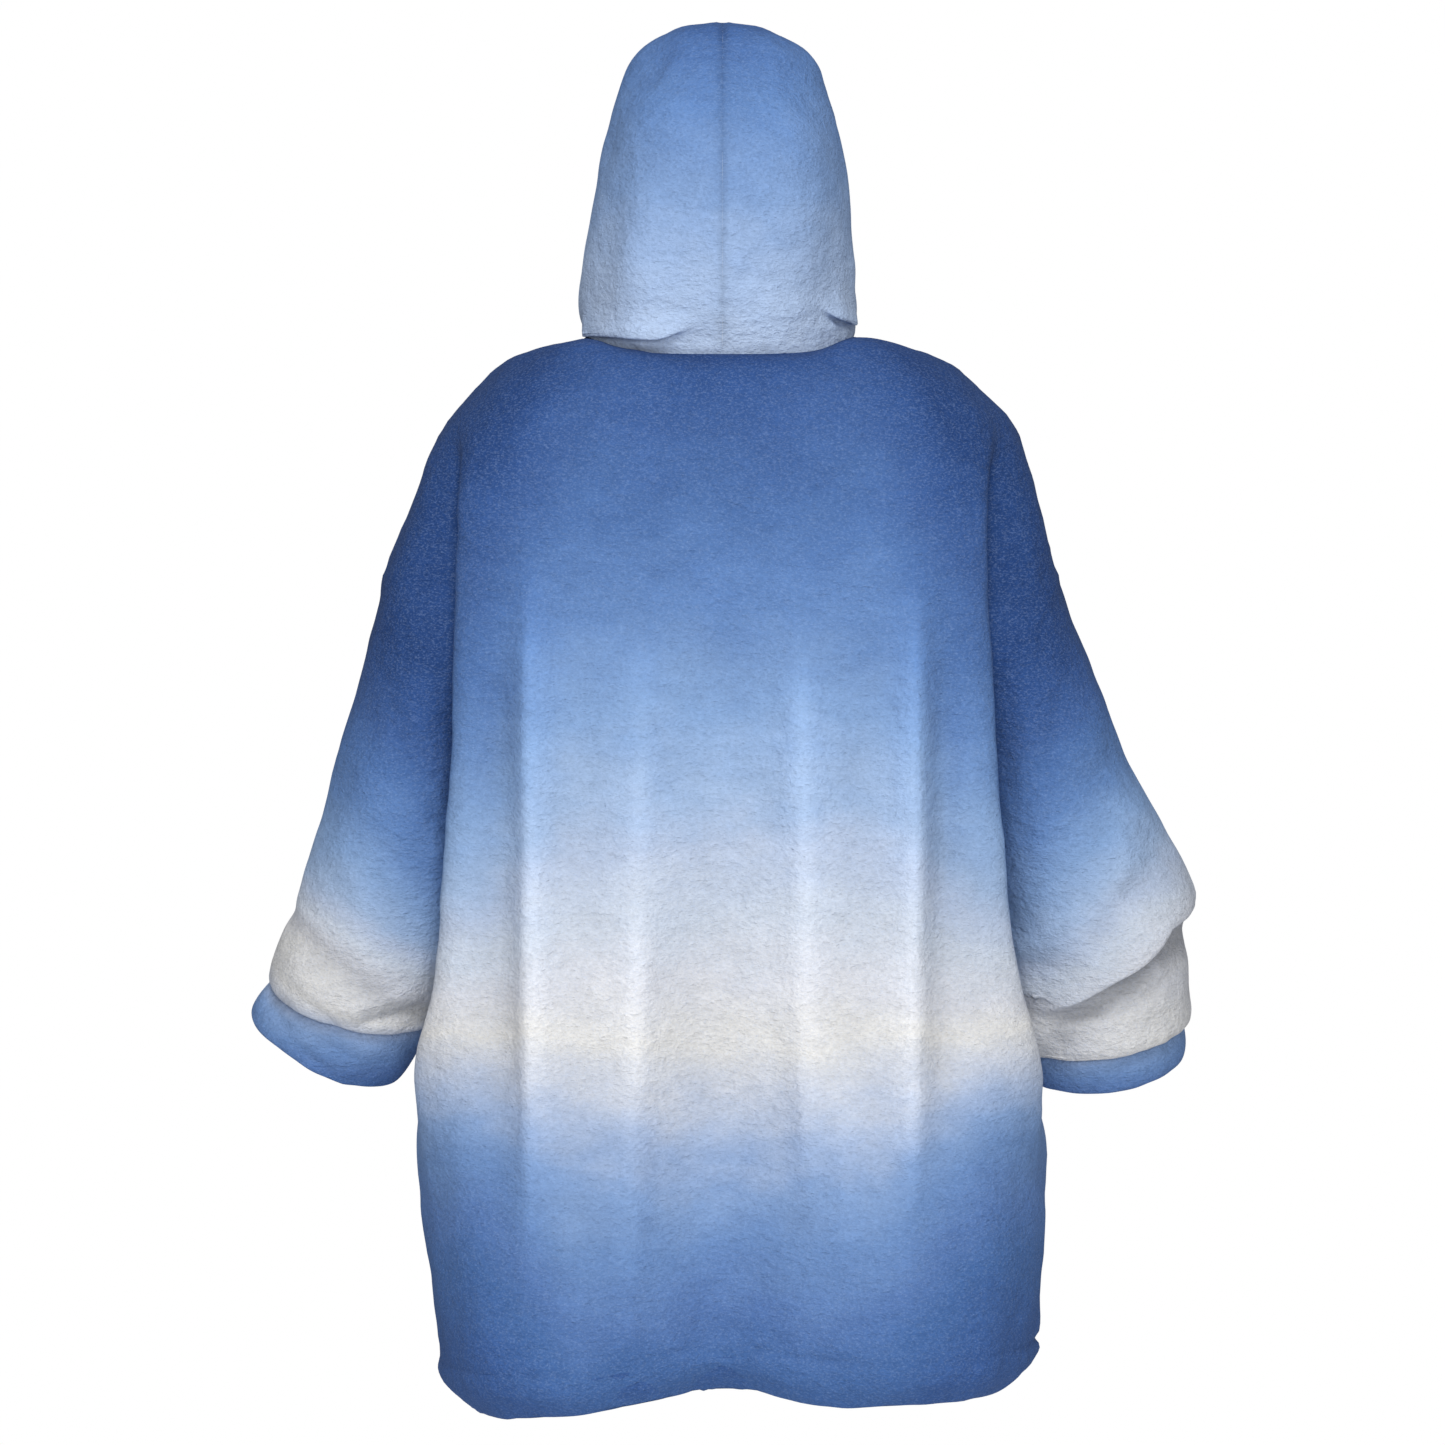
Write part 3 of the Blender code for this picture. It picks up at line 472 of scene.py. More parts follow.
def grid_normals(grid, closed):
    """Outward direction at each point of a grid, not of unit length."""
    ring = np.concatenate([grid, grid[:, :1]], axis=1) if closed else grid
    faces = np.cross(ring[1:, 1:] - ring[:-1, :-1], ring[1:, :-1] - ring[:-1, 1:])
    middles = (ring[1:, 1:] + ring[:-1, :-1]) / 2
    centres = (grid[1:].mean(axis=1) + grid[:-1].mean(axis=1)) / 2
    if np.sum(faces * (middles - centres[:, None])) < 0:
        faces = -faces
    normals = np.zeros_like(ring)
    for rows in (slice(None, -1), slice(1, None)):
        for columns in (slice(None, -1), slice(1, None)):
            normals[rows, columns] += faces
    if closed:
        normals[:, 0] += normals[:, -1]
        normals = normals[:, :-1]
    return normals


def lattice(cells, seed):
    """A fixed value from -1 to 1 for each cell of a lattice."""
    parts = (cells + 4096).astype(np.uint32)
    mixed = parts[..., 0] * np.uint32(374761393) + parts[..., 1] * np.uint32(668265263)
    mixed = mixed + parts[..., 2] * np.uint32(2246822519) + np.uint32(seed * 3266489)
    mixed = (mixed ^ (mixed >> np.uint32(13))) * np.uint32(1274126177)
    mixed = mixed ^ (mixed >> np.uint32(16))
    return (mixed & np.uint32(0xFFFF)).astype(float) / 32767.5 - 1


def dimples(points, size, seed):
    """Smooth hills and hollows of about the given size, from -1 to 1, the same in every run."""
    scaled = points / size
    cells = np.floor(scaled).astype(int)
    part = scaled - cells
    part = part * part * (3 - 2 * part)
    total = np.zeros(points.shape[:-1])
    for x in (0, 1):
        for y in (0, 1):
            for z in (0, 1):
                share = np.ones(points.shape[:-1])
                for axis, corner in enumerate((x, y, z)):
                    share *= part[..., axis] if corner else 1 - part[..., axis]
                total += share * lattice(cells + (x, y, z), seed)
    return total


def unevenness(points):
    """Factor by which folds differ in strength from place to place."""
    return 1 + UNEVEN_SHARE * dimples(points, UNEVEN_SIZE, UNEVEN_SEED)


def body_folds(grid, across, front):
    """Height of the large folds over a panel."""
    height = np.zeros(grid.shape[:2])
    for x_top, x_bottom, z_top, z_bottom, half_width, rise in FOLDS["front" if front else "back"]:
        down = (z_top - grid[..., 2]) / (z_top - z_bottom)
        line = x_top + (x_bottom - x_top) * down
        window = fade(down, *FOLD_START) * fade(down, *FOLD_END)
        height += rise * window * bump((grid[..., 0] - line) / half_width)
    return height * fade(np.abs(across), *FOLD_COLUMNS) * unevenness(grid)


def creases(name, grid, normals):
    """Height of the creases over a piece, and how far its cloth slides down in them."""
    height = np.zeros(grid.shape[:2])
    slide = np.zeros(grid.shape[:2])
    for side in (1, -1):
        facing = fade(normals[..., 1] * side, 0.0, CREASE_FACING)
        for start_x, start_z, end_x, end_z, half_width, rise, *drop in CREASES.get((name, side), ()):
            begin = np.array((start_x, start_z))
            line = np.array((end_x, end_z)) - begin
            seen = grid[..., (0, 2)] - begin
            part = seen @ line / (line @ line)
            off = np.linalg.norm(seen - np.clip(part, 0, 1)[..., None] * line, axis=-1)
            ends = fade(part, *CREASE_START) * fade(part, *CREASE_END)
            weight = ends * facing * bump(off / half_width)
            height += rise * weight
            slide += sum(drop) * weight
    return height * unevenness(grid), slide


def lengths_along(grid, axis):
    """Distance of each point from the grid's first row or column, along the grid."""
    steps = np.cumsum(np.linalg.norm(np.diff(grid, axis=axis), axis=2), axis=axis)
    return np.concatenate([np.zeros_like(steps.take([0], axis)), steps], axis=axis)


def edge_distances(grid, closed):
    """Distance of each point from the four edges of its sheet, along the grid."""
    down = lengths_along(grid, 0)
    found = {"top": down, "bottom": down[-1] - down}
    if not closed:
        side = lengths_along(grid, 1)
        found["start"] = side
        found["end"] = side[:, -1:] - side
    return found


def relief(name, sheet, crease, crumple):
    """The sheet with its folds, creases and crumple, all of which end at its sewn edges."""
    grid = sheet.grid
    normals = unit(grid_normals(grid, sheet.closed))
    creased, slide = creases(name, grid, normals)
    height = sheet.height + crease * creased
    distances = edge_distances(grid, sheet.closed)
    for size, rise, seed in CRUMPLE:
        height = height + crumple * rise * dimples(grid, size, seed)
    coarse, fine = PUCKER_SEEDS
    wave = dimples(grid, PUCKER_LENGTH, coarse) + 0.5 * dimples(grid, PUCKER_LENGTH / 2, fine)
    for seam in SEAMS[name]:
        beside = bump((distances[seam] - PUCKER_REACH) / PUCKER_REACH)
        height = height + PUCKER_HEIGHT * wave * beside
    for seam in SEAMS[name]:
        free = fade(distances[seam], 0.0, SEAM_FLAT)
        height = height * free
        slide = slide * free
    moved = grid + normals * height[..., None]
    moved[..., 2] -= crease * slide
    return sheet._replace(grid=moved, height=height)


def around_hole(side, back, front):
    """Values round an armhole: down the edge of the back panel and up the edge of the front one."""
    edge = 0 if side == "left" else -1
    last = UNDERARM_ROW * ROW_STEPS
    return np.concatenate([back[:last + 1, edge], front[1:last, edge][::-1]])


def folded_sleeve(side, hole):
    """Rings of the sleeve, the axis at its last ring, how far each ring is from the armhole, and
    the height of the tucks."""
    sign = 1 if side == "left" else -1
    middle = np.array(SLEEVE_MIDDLE[side]) * (sign, 1, 1)
    fine = smooth(middle, np.linspace(0, len(middle) - 1, MIDDLE_POINTS))
    reach = np.append(0, np.cumsum(np.linalg.norm(np.diff(fine, axis=0), axis=1)))
    rings = smooth(SLEEVE_RINGS[side], places_along((SLEEVE_STEPS,) * (len(SLEEVE_RINGS[side]) - 1)))
    length = rings[-1, 0]
    even_turn = np.linspace(0, 2 * np.pi, len(hole), endpoint=False)
    grid = []
    swells = []
    for along, radius_out, radius_back in rings:
        centre, ahead, behind = (
            np.array([np.interp(along + step, reach, fine[:, k]) for k in range(3)])
            for step in (0.0, MIDDLE_STEP, -MIDDLE_STEP))
        axis = unit(ahead - behind)
        backward = unit(np.array((0.0, 1.0, 0.0)) - axis * axis[1])
        outward = sign * np.cross(axis, backward)
        if not grid:
            hole_turn = np.arctan2((hole - centre) @ backward, (hole - centre) @ outward)
            hole_turn = np.unwrap(hole_turn)
        freed = fade(along, 0.0, ARMHOLE_REACH)
        turn = hole_turn + (even_turn - hole_turn) * freed
        spread = radius_out * np.cos(turn)[:, None] * outward
        spread = spread + radius_back * np.sin(turn)[:, None] * backward
        degrees = np.degrees(turn)
        swell = np.zeros(len(turn))
        slide = np.zeros(len(turn))
        for place, facing, half_length, half_turn, rise, slant, drop in TUCKS[side]:
            offset = (degrees - facing + 180) % 360 - 180
            line = place + slant * np.clip(offset, 0, 90) / 90
            weight = bump((along - line) / half_length) * bump(offset / half_turn)
            swell += rise * weight
            slide += drop * weight
        left_over = (length - along) / BLOUSE_LENGTH
        slide += BLOUSE_DROP[side] * fade(left_over, *BLOUSE_END) * fade(left_over, *BLOUSE_START)
        ring = centre + spread + unit(spread) * swell[:, None] + slide[:, None] * axis
        if not grid:
            slant_part = hole - ring
        grid.append(ring + slant_part * (1 - freed))
        swells.append(swell)
    return np.array(grid), axis, rings[:, 0], np.array(swells)


def band(seam, axis, profile, outward=(0.0, 0.0, 0.0), shape=LEVEL_SHAPE):
    """Rings of a band below a seam ring: each goes along the axis and in towards the middle."""
    scale, shorter_out, shorter_in, flare_out, flare_in = shape
    inward = seam.mean(axis=0) - seam
    inward = unit(inward - np.outer(inward @ axis, axis))
    outside = np.maximum(-inward @ np.array(outward), 0.0)
    inside = np.maximum(inward @ np.array(outward), 0.0)
    reach = scale * (1 - shorter_out * outside - shorter_in * inside)
    rings = smooth(profile, places_along((BAND_STEPS,) * (len(profile) - 1)))
    spread = (flare_out * outside + flare_in * inside) / rings[:, 0].max()
    return np.array([seam + np.outer(reach * down, axis) + inward * (pull - spread * down)[:, None]
                     for down, pull in rings])


def hood(side):
    """Grid of one half of the hood: rows up, columns from the centre seam to the face edge."""
    back_places = places_along(PANEL_STEPS[:2])
    front_places = 4 - back_places[::-1]
    columns = np.concatenate([back_places, front_places[1:]])
    rows = [on_neck(columns)] + [smooth(row, columns) for row in HOOD]
    grid = smooth(rows, places_along(HOOD_STEPS))
    grid[:, 0, 0] = 0.0
    if side == "right":
        grid = grid * (-1, 1, 1)
    normals = grid_normals(grid, False)
    normals[:, 0, 0] = 0.0
    normals[-1, :, 0] = 0.0
    normals = unit(normals)
    lift = fade(np.arange(len(grid)), 0, HOOD_STEPS[0])[:, None]
    for x, y, z, reach, rise in HOOD_DENTS:
        distance = np.linalg.norm(grid - (x, y, z), axis=2) / reach
        grid = grid + normals * (rise * lift * bump(distance))[..., None]
    grid[:, 0, 0] = 0.0
    grid[-1, :, 0] = 0.0
    return stance(grid)


def key(point):
    """Name of a place in space, the same for points that lie on each other."""
    return tuple(np.round(point * 1e5).astype(int))


def seam_lines(grid):
    """The four edges of a grid by name."""
    return {"top": grid[0], "bottom": grid[-1], "start": grid[:, 0], "end": grid[:, -1]}


def grooved(sheets):
    """The sheets with their sewn edges sunk in, by the same amount on both sides of each seam, and
    painted darker there, partly as painted shade in the groove and partly for the parted pile.
    """
    by_form = {}
    depths = {}
    for name, sheet in sheets.items():
        form = by_form.setdefault(FORMS.get(name, name), {})
        normals = seam_lines(grid_normals(sheet.grid, sheet.closed))
        for seam, line in seam_lines(sheet.grid).items():
            if sheet.closed and seam in ("start", "end"):
                continue
            for point, normal in zip(line, normals[seam]):
                form[key(point)] = form.get(key(point), 0) + normal
                depth = SEAMS[name].get(seam, 1.0)
                depths[key(point)] = min(depths.get(key(point), 1.0), depth)
    total = {}
    for form in by_form.values():
        for place, normal in form.items():
            total[place] = total.get(place, 0) + unit(normal)
    found = {}
    for name, sheet in sheets.items():
        distances = edge_distances(sheet.grid, sheet.closed)
        lines = seam_lines(sheet.grid)
        moved = sheet.grid.copy()
        sunk = np.zeros(moved.shape[:2])
        for seam in SEAMS[name]:
            inward = np.array([unit(total[key(point)]) for point in lines[seam]])
            deep = np.array([depths[key(point)] for point in lines[seam]])
            across = 0 if seam in ("top", "bottom") else 1
            inward = np.expand_dims(inward, across)
            deep = np.expand_dims(deep, across) * bump(distances[seam] / GROOVE_REACH)
            fresh = np.maximum(deep - sunk, 0.0)
            moved -= inward * fresh[..., None]
            sunk += fresh
        # The groove's depth darkens the colour: painted shade in the groove, together with the parted
        # pile.
        found[name] = sheet._replace(grid=moved, height=sheet.height - SEAM_PAINTED_SHADE * sunk)
    return found


def on_own_side(sheet, sign):
    """Half of the hood that opens away from the middle at once, also where two of its seams meet."""
    distances = edge_distances(sheet.grid, False)
    nearest = np.minimum(distances["start"], distances["bottom"])
    least = OPENING_SLOPE * np.minimum(nearest, OPENING_REACH)
    kept = sheet.grid.copy()
    kept[..., 0] = sign * np.maximum(sign * kept[..., 0], least)
    return sheet._replace(grid=kept)


def panel_sheet(front):
    """The back or the front panel with the height of its large folds and its dye level."""
    half = places_along(PANEL_STEPS)
    across = np.concatenate([-half[::-1], half[1:]])
    grid = panel(front, across)
    rows = places_along((ROW_STEPS,) * len(BACK))[:, None]
    down = edge_distances(grid, False)["top"].mean(axis=1, keepdims=True)
    # Darker over the arm: partly dye, partly painted shade beside the fold edge.
    over_arm = fade(np.abs(across), *ARM_DYE_AND_SHADE_COLUMNS) * fade(rows, *ARM_DYE_AND_SHADE_ROWS[::-1])
    at_side = fade(np.abs(across), *SIDE_DYE_AND_SHADE_COLUMNS)
    # Darker sides: partly dye, partly painted shade on cloth that turns away.
    side_dye_and_shade = SIDE_DYE_AND_SHADE * at_side * np.tanh((PALE_LEVEL - down) / SIDE_DYE_AND_SHADE_REACH)
    level = (down - side_dye_and_shade) * (1 - ARM_DYE_AND_SHADE_SHARE * over_arm)
    return Sheet(grid, False, body_folds(grid, across, front), level)


def sleeve_level(grid, along, side):
    """Dye level of a sleeve."""
    depth = SLEEVE_SKEW * (np.abs(grid[..., 0]) - SLEEVE_SKEW_X) - grid[..., 2]
    to_cuff = (along[-1] - along)[:, None]
    depth = depth + (CUFF_DYE_DEPTH - to_cuff - depth) * fade(to_cuff, *CUFF_DYE_REACH)
    depths, levels = np.transpose(SLEEVE_LEVELS[side])
    return np.interp(depth, depths, levels)


@functools.cache
def garment(crease, crumple):
    """Every sheet of the hoodie by name, with its relief."""
    back, front = panel_sheet(False), panel_sheet(True)
    plain = {"back_panel": back, "front_panel": front}
    painted_tuck_shadows = {}
    for side in ("left", "right"):
        hole = around_hole(side, back.grid, front.grid)
        rings, axis, along, swell = folded_sleeve(side, hole)
        # Painted shadow: the hollows of the tucks are made darker through the relief's height.
        painted_tuck_shadows[side] = TUCK_PAINTED_SHADOW * np.minimum(swell, 0.0)
        own = sleeve_level(rings, along, side)
        # The sleeve's top takes on the panels' level at the armhole, with the painted shade over the
        # arm.
        at_hole = around_hole(side, back.level, front.level) - own[0]
        level = own + at_hole * fade(along, ARM_DYE_AND_SHADE_REACH, 0.0)[:, None]
        plain["sleeve_" + side] = Sheet(rings, True, 0.0, level)
        outward = (1.0 if side == "left" else -1.0, 0.0, 0.0)
        cuff = band(rings[-1], axis, CUFF_PROFILE, outward, CUFF_SHAPE[side])
        level = CUFF_LEVEL[side] + CUFF_GAIN * edge_distances(cuff, True)["top"]
        plain["cuff_" + side] = Sheet(cuff, True, 0.0, level)
        half = hood(side)
        plain["hood_" + side] = Sheet(half, False, 0.0, edge_distances(half, False)["top"])
    hem, hem_level = (np.concatenate([b[-1], f[-1, 1:-1][::-1]])
                      for b, f in ((back.grid, front.grid), (back.level, front.level)))
    hem_band = band(hem, np.array((0.0, 0.0, -1.0)), BAND_PROFILE)
    level = hem_level + edge_distances(hem_band, True)["top"]
    plain["hem_band"] = Sheet(hem_band, True, 0.0, level)
    sewn = grooved({name: relief(name, sheet, crease, crumple) for name, sheet in plain.items()})
    for side, sign in (("left", 1), ("right", -1)):
        sewn["hood_" + side] = on_own_side(sewn["hood_" + side], sign)
        sleeve = sewn["sleeve_" + side]
        # The tucks' painted shadow joins the height that darkens the colour.
        sewn["sleeve_" + side] = sleeve._replace(height=sleeve.height + painted_tuck_shadows[side])
    return sewn


def closed_up(values):
    """Values of a tube's rings with the first column once more at the end."""
    return np.concatenate([values, values[:, :1]], axis=1)


def new_object(name, data):
    """An object with the data, in the scene."""
    made = bpy.data.objects.new(name, data)
    bpy.context.scene.collection.objects.link(made)
    return made


def mesh_object(name, mesh, material):
    """An object with the mesh and the material, in the scene."""
    data = bpy.data.meshes.new(name)
    mesh.to_mesh(data)
    mesh.free()
    data.materials.append(material)
    return new_object(name, data)


def cloth_object(name, sheet, thickness, material):
    """A sheet as a thin shell, with its relief, and with the relief's height for painted shade and
    light and its dye level as attributes.
    """
    grid, height, level = (closed_up(values) if sheet.closed else values
                           for values in (sheet.grid, sheet.height, sheet.level))
    rows, columns = grid.shape[:2]
    mesh = bmesh.new()
    bmesh.ops.create_grid(mesh, x_segments=columns - 1, y_segments=rows - 1, size=0.5)
    # The crest attribute holds the relief's height, which the plush turns into painted shade and light.
    crest = mesh.verts.layers.float.new("crest")
    dye = mesh.verts.layers.float.new("dye")
    for vert in mesh.verts:
        column = round((vert.co.x + 0.5) * (columns - 1))
        row = round((vert.co.y + 0.5) * (rows - 1))
        vert.co = grid[row, column]
        vert[crest] = height[row, column]
        vert[dye] = level[row, column]
    bmesh.ops.remove_doubles(mesh, verts=mesh.verts, dist=1e-6)
    bmesh.ops.recalc_face_normals(mesh, faces=mesh.faces)
    mesh.normal_update()
    outward = Vector(grid_normals(sheet.grid, sheet.closed)[rows // 2, columns // 2])
    halfway = Vector(grid[rows // 2, columns // 2])
    middle = min(mesh.verts, key=lambda vert: (vert.co - halfway).length)
    if middle.normal.dot(outward) < 0:
        bmesh.ops.reverse_faces(mesh, faces=mesh.faces)
    for face in mesh.faces:
        face.smooth = True
    for edge in mesh.edges:
        edge.smooth = not edge.is_boundary
    piece = mesh_object(name + "_cloth", mesh, material)
    wall = piece.modifiers.new("wall", "SOLIDIFY")
    wall.thickness = thickness
    wall.offset = -1.0
    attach(piece, "root")
    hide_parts(name)
    return piece


def linear(hexcode):
    """Linear colour of an sRGB hex value."""
    parts = [int(hexcode[k:k + 2], 16) / 255 for k in (1, 3, 5)]
    return tuple(c / 12.92 if c <= 0.04045 else ((c + 0.055) / 1.055) ** 2.4 for c in parts) + (1.0,)


def add_node(tree, kind, inputs=(), links=(), **settings):
    """A node with its settings, input values, and links from (node, output name)."""
    node = tree.nodes.new(kind)
    for name, value in settings.items():
        setattr(node, name, value)
    for name, value in dict(inputs).items():
        node.inputs[name].default_value = value
    for name, (source, output) in dict(links).items():
        tree.links.new(source.outputs[output], node.inputs[name])
    return node


def range_of(tree, source, output, start, end, low, high):
    """A node that maps a value from one range to another, held at both ends."""
    limits = {"From Min": start, "From Max": end, "To Min": low, "To Max": high}
    return add_node(tree, "ShaderNodeMapRange", limits, {"Value": (source, output)})


def noise(tree, place, scale, detail, roughness):
    """Noise with about the given number of features in a metre."""
    values = {"Scale": scale, "Detail": detail, "Roughness": roughness}
    return add_node(tree, "ShaderNodeTexNoise", values, {"Vector": (place, "Vector")})


def product(tree, first, second):
    """The product of two values, each given as (node, output name)."""
    return add_node(tree, "ShaderNodeMath", links={0: first, 1: second}, operation="MULTIPLY")


def new_material(name, values):
    """A material with its shader, whose sockets have the given values."""
    material = bpy.data.materials.new(name)
    material.use_nodes = True
    shader = material.node_tree.nodes["Principled BSDF"]
    for socket, value in values.items():
        shader.inputs[socket].default_value = value
    return material, shader


def plush_material(name, dye, cloth):
    """Polyester plush fleece, knitted, brushed and dip-dyed: a matt, slightly mottled pile.

    The eye gets a soft velvety rim of light, pale fibre tips, small dimples in the pile, and a dye that
    runs softly from colour to colour along the cloth; the shade and light of the relief are painted
    into the colour.
    """
    material, shader = new_material(name, {
        "Roughness": 0.95, "Specular IOR Level": 0.12, "Sheen Weight": cloth.sheen,
        "Sheen Roughness": 0.45, "Sheen Tint": linear("#A9C4F5")})
    tree = material.node_tree
    space = add_node(tree, "ShaderNodeTexCoord")
    # The brushed courses run across the cloth, so every dimple is wider than it is high.
    place = add_node(tree, "ShaderNodeMapping", {"Scale": (1.0, 1.0, 1.7)},
                     {"Vector": (space, "Object")})
    # Dye wicks unevenly, in fingers of about 60 mm with finer ones on them.
    wick = noise(tree, place, 14.0, 4.0, 0.6)
    creep = range_of(tree, wick, "Fac", 0.25, 0.75, -0.020, 0.020)
    level = add_node(tree, "ShaderNodeAttribute", attribute_name="dye")
    reach = add_node(tree, "ShaderNodeMath", operation="ADD",
                     links={0: (level, "Fac"), 1: (creep, "Result")})
    full = dye[-1][0]
    share = add_node(tree, "ShaderNodeMath", {1: full}, {0: (reach, "Value")}, operation="DIVIDE")
    ramp = add_node(tree, "ShaderNodeValToRGB", links={"Fac": (share, "Value")})
    stops = ramp.color_ramp.elements
    while len(stops) < len(dye):
        stops.new(1.0)
    for stop, (depth, hexcode) in zip(stops, dye):
        stop.position = depth / full
        stop.color = linear(hexcode)
    # Pile that leans another way shows lighter or darker, in patches of about 25 mm.
    lean = noise(tree, place, 40.0, 4.0, 0.65)
    lean_light = range_of(tree, lean, "Fac", 0.3, 0.7, 0.94, 1.05)
    # Tufts of about 4 mm; single fibres are too fine to show, so the tufts are drawn coarser.
    tuft = noise(tree, place, 240.0, 3.0, 0.7)
    tuft_light = range_of(tree, tuft, "Fac", 0.32, 0.70, 0.88, 1.08)
    # Painted shade and light of the relief: troughs of folds and creases, dimples, seam grooves and
    # tuck hollows are painted darker the deeper they lie, and crests are painted lighter.
    crest = add_node(tree, "ShaderNodeAttribute", attribute_name="crest")
    painted_relief_shading = range_of(tree, crest, "Fac", -0.024, 0.014, 0.54, 1.04)
    both = product(tree, (lean_light, "Result"), (tuft_light, "Result"))
    light = product(tree, (both, "Value"), (painted_relief_shading, "Result"))
    tinted = add_node(tree, "ShaderNodeVectorMath", operation="SCALE",
                      links={0: (ramp, "Color"), "Scale": (light, "Value")})
    # Fibre tips took up less dye and show as pale specks of about 2 mm, most of all in dark parts.
    speck = noise(tree, place, 430.0, 2.0, 0.8)
    speck_share = range_of(tree, speck, "Fac", 0.48, 0.78, 0.0, 0.22)
    tips_colour = add_node(tree, "ShaderNodeMixRGB", {"Color2": linear("#A9C2EC")},
                           {"Fac": (speck_share, "Result"), "Color1": (tinted, "Vector")})
    tree.links.new(tips_colour.outputs["Color"], shader.inputs["Base Color"])
    # Pile relief: crinkles of about 12 mm, tufts of about 4 mm and tips of about 2 mm.
    crinkle = noise(tree, place, 80.0, 3.0, 0.6)
    links = {}
    for texture, height in ((crinkle, 0.0030), (tuft, 0.0013), (speck, 0.0005)):
        links["Height"] = (texture, "Fac")
        nap = add_node(tree, "ShaderNodeBump", {"Strength": 1.0, "Distance": height * cloth.nap}, links)
        links["Normal"] = (nap, "Normal")
    tree.links.new(nap.outputs["Normal"], shader.inputs["Normal"])
    return material


class HoodieCloth(bpy.types.PropertyGroup):
    """Sizes of the cloth that a user would change."""

    thickness: bpy.props.FloatProperty(
        name="Cloth thickness", description="Thickness of one layer of fleece", default=0.0028,
        unit="LENGTH")
    crease: bpy.props.FloatProperty(
        name="Crease strength", description="How strongly the placed creases stand out",
        default=1.0, min=0.0, max=2.0, subtype="FACTOR")
    crumple: bpy.props.FloatProperty(
        name="Crumple strength", description="How strongly the soft dimples stand out",
        default=1.0, min=0.0, max=2.0, subtype="FACTOR")
    nap: bpy.props.FloatProperty(
        name="Nap height", description="Height of the pile's relief", default=1.0, min=0.0, max=3.0,
        subtype="FACTOR")
    sheen: bpy.props.FloatProperty(
        name="Sheen", description="Velvety rim of light on the pile", default=0.04, min=0.0,
        max=1.0, subtype="FACTOR")


class HoodieStage(bpy.types.PropertyGroup):
    """Sizes and colours of the studio."""

    floor_height: bpy.props.FloatProperty(
        name="Floor height", description="Height of the floor below the garment", default=-1.50,
        unit="LENGTH")
    floor_colour: bpy.props.FloatVectorProperty(
        name="Floor colour", description="Colour of the paper floor", default=linear("#F4F5F7")[:3],
        subtype="COLOR", size=3)
    floor_size: bpy.props.FloatProperty(
        name="Floor size", description="Side of the square floor", default=6.0, unit="LENGTH")
    key_power: bpy.props.FloatProperty(
        name="Key light", description="Power of the large soft light above", default=72.0,
        unit="POWER")
    front_power: bpy.props.FloatProperty(
        name="Front light", description="Power of the soft light beside the camera", default=71.0,
        unit="POWER")
    fill_strength: bpy.props.FloatProperty(
        name="Fill light", description="Strength of the even light from all sides", default=0.36,
        min=0.0)


def make_pieces(operator, context, names, dye, finish):
    """Build the named sheets with one dip-dyed plush."""
    cloth = context.scene.hoodie_cloth
    sheets = garment(cloth.crease, cloth.crumple)
    material = plush_material(finish, dye, cloth)
    for name in names:
        cloth_object(name, sheets[name], cloth.thickness, material)
    operator.report({"INFO"}, "made " + ", ".join(names))
    return {"FINISHED"}


class HOODIE_OT_body(bpy.types.Operator):
    """Sew the back and the front panel"""

    bl_idname = "hoodie.body"
    bl_label = "Back and front"

    def execute(self, context):
        return make_pieces(self, context, ("back_panel", "front_panel"), GARMENT_DYE,
                           "plush fleece, dip-dyed body")


class HOODIE_OT_sleeves(bpy.types.Operator):
    """Sew both sleeves"""

    bl_idname = "hoodie.sleeves"
    bl_label = "Sleeves"

    def execute(self, context):
        return make_pieces(self, context, ("sleeve_left", "sleeve_right"), GARMENT_DYE,
                           "plush fleece, dip-dyed sleeves")


class HOODIE_OT_cuffs(bpy.types.Operator):
    """Sew both cuffs"""

    bl_idname = "hoodie.cuffs"
    bl_label = "Cuffs"

    def execute(self, context):
        return make_pieces(self, context, ("cuff_left", "cuff_right"), GARMENT_DYE,
                           "plush fleece, dyed cuffs")


class HOODIE_OT_hood(bpy.types.Operator):
    """Sew both halves of the hood"""

    bl_idname = "hoodie.hood"
    bl_label = "Hood"

    def execute(self, context):
        return make_pieces(self, context, ("hood_left", "hood_right"), HOOD_DYE,
                           "plush fleece, dip-dyed hood")


class HOODIE_OT_hem_band(bpy.types.Operator):
    """Sew the hem band"""

    bl_idname = "hoodie.hem_band"
    bl_label = "Hem band"

    def execute(self, context):
        return make_pieces(self, context, ("hem_band",), GARMENT_DYE,
                           "plush fleece, dyed hem band")


def aimed(placed, place):
    """The camera or light put in its place, looking at the middle of the garment."""
    placed.location = place
    aim = Vector((0.0, 0.0, CAMERA_HEIGHT)) - placed.location
    placed.rotation_euler = aim.to_track_quat("-Z", "Y").to_euler()
    return placed


def soft_light(name, place, size, power):
    """A square soft light."""
    data = bpy.data.lights.new(name, "AREA")
    data.energy = power
    data.size = size
    aimed(new_object(name, data), place)


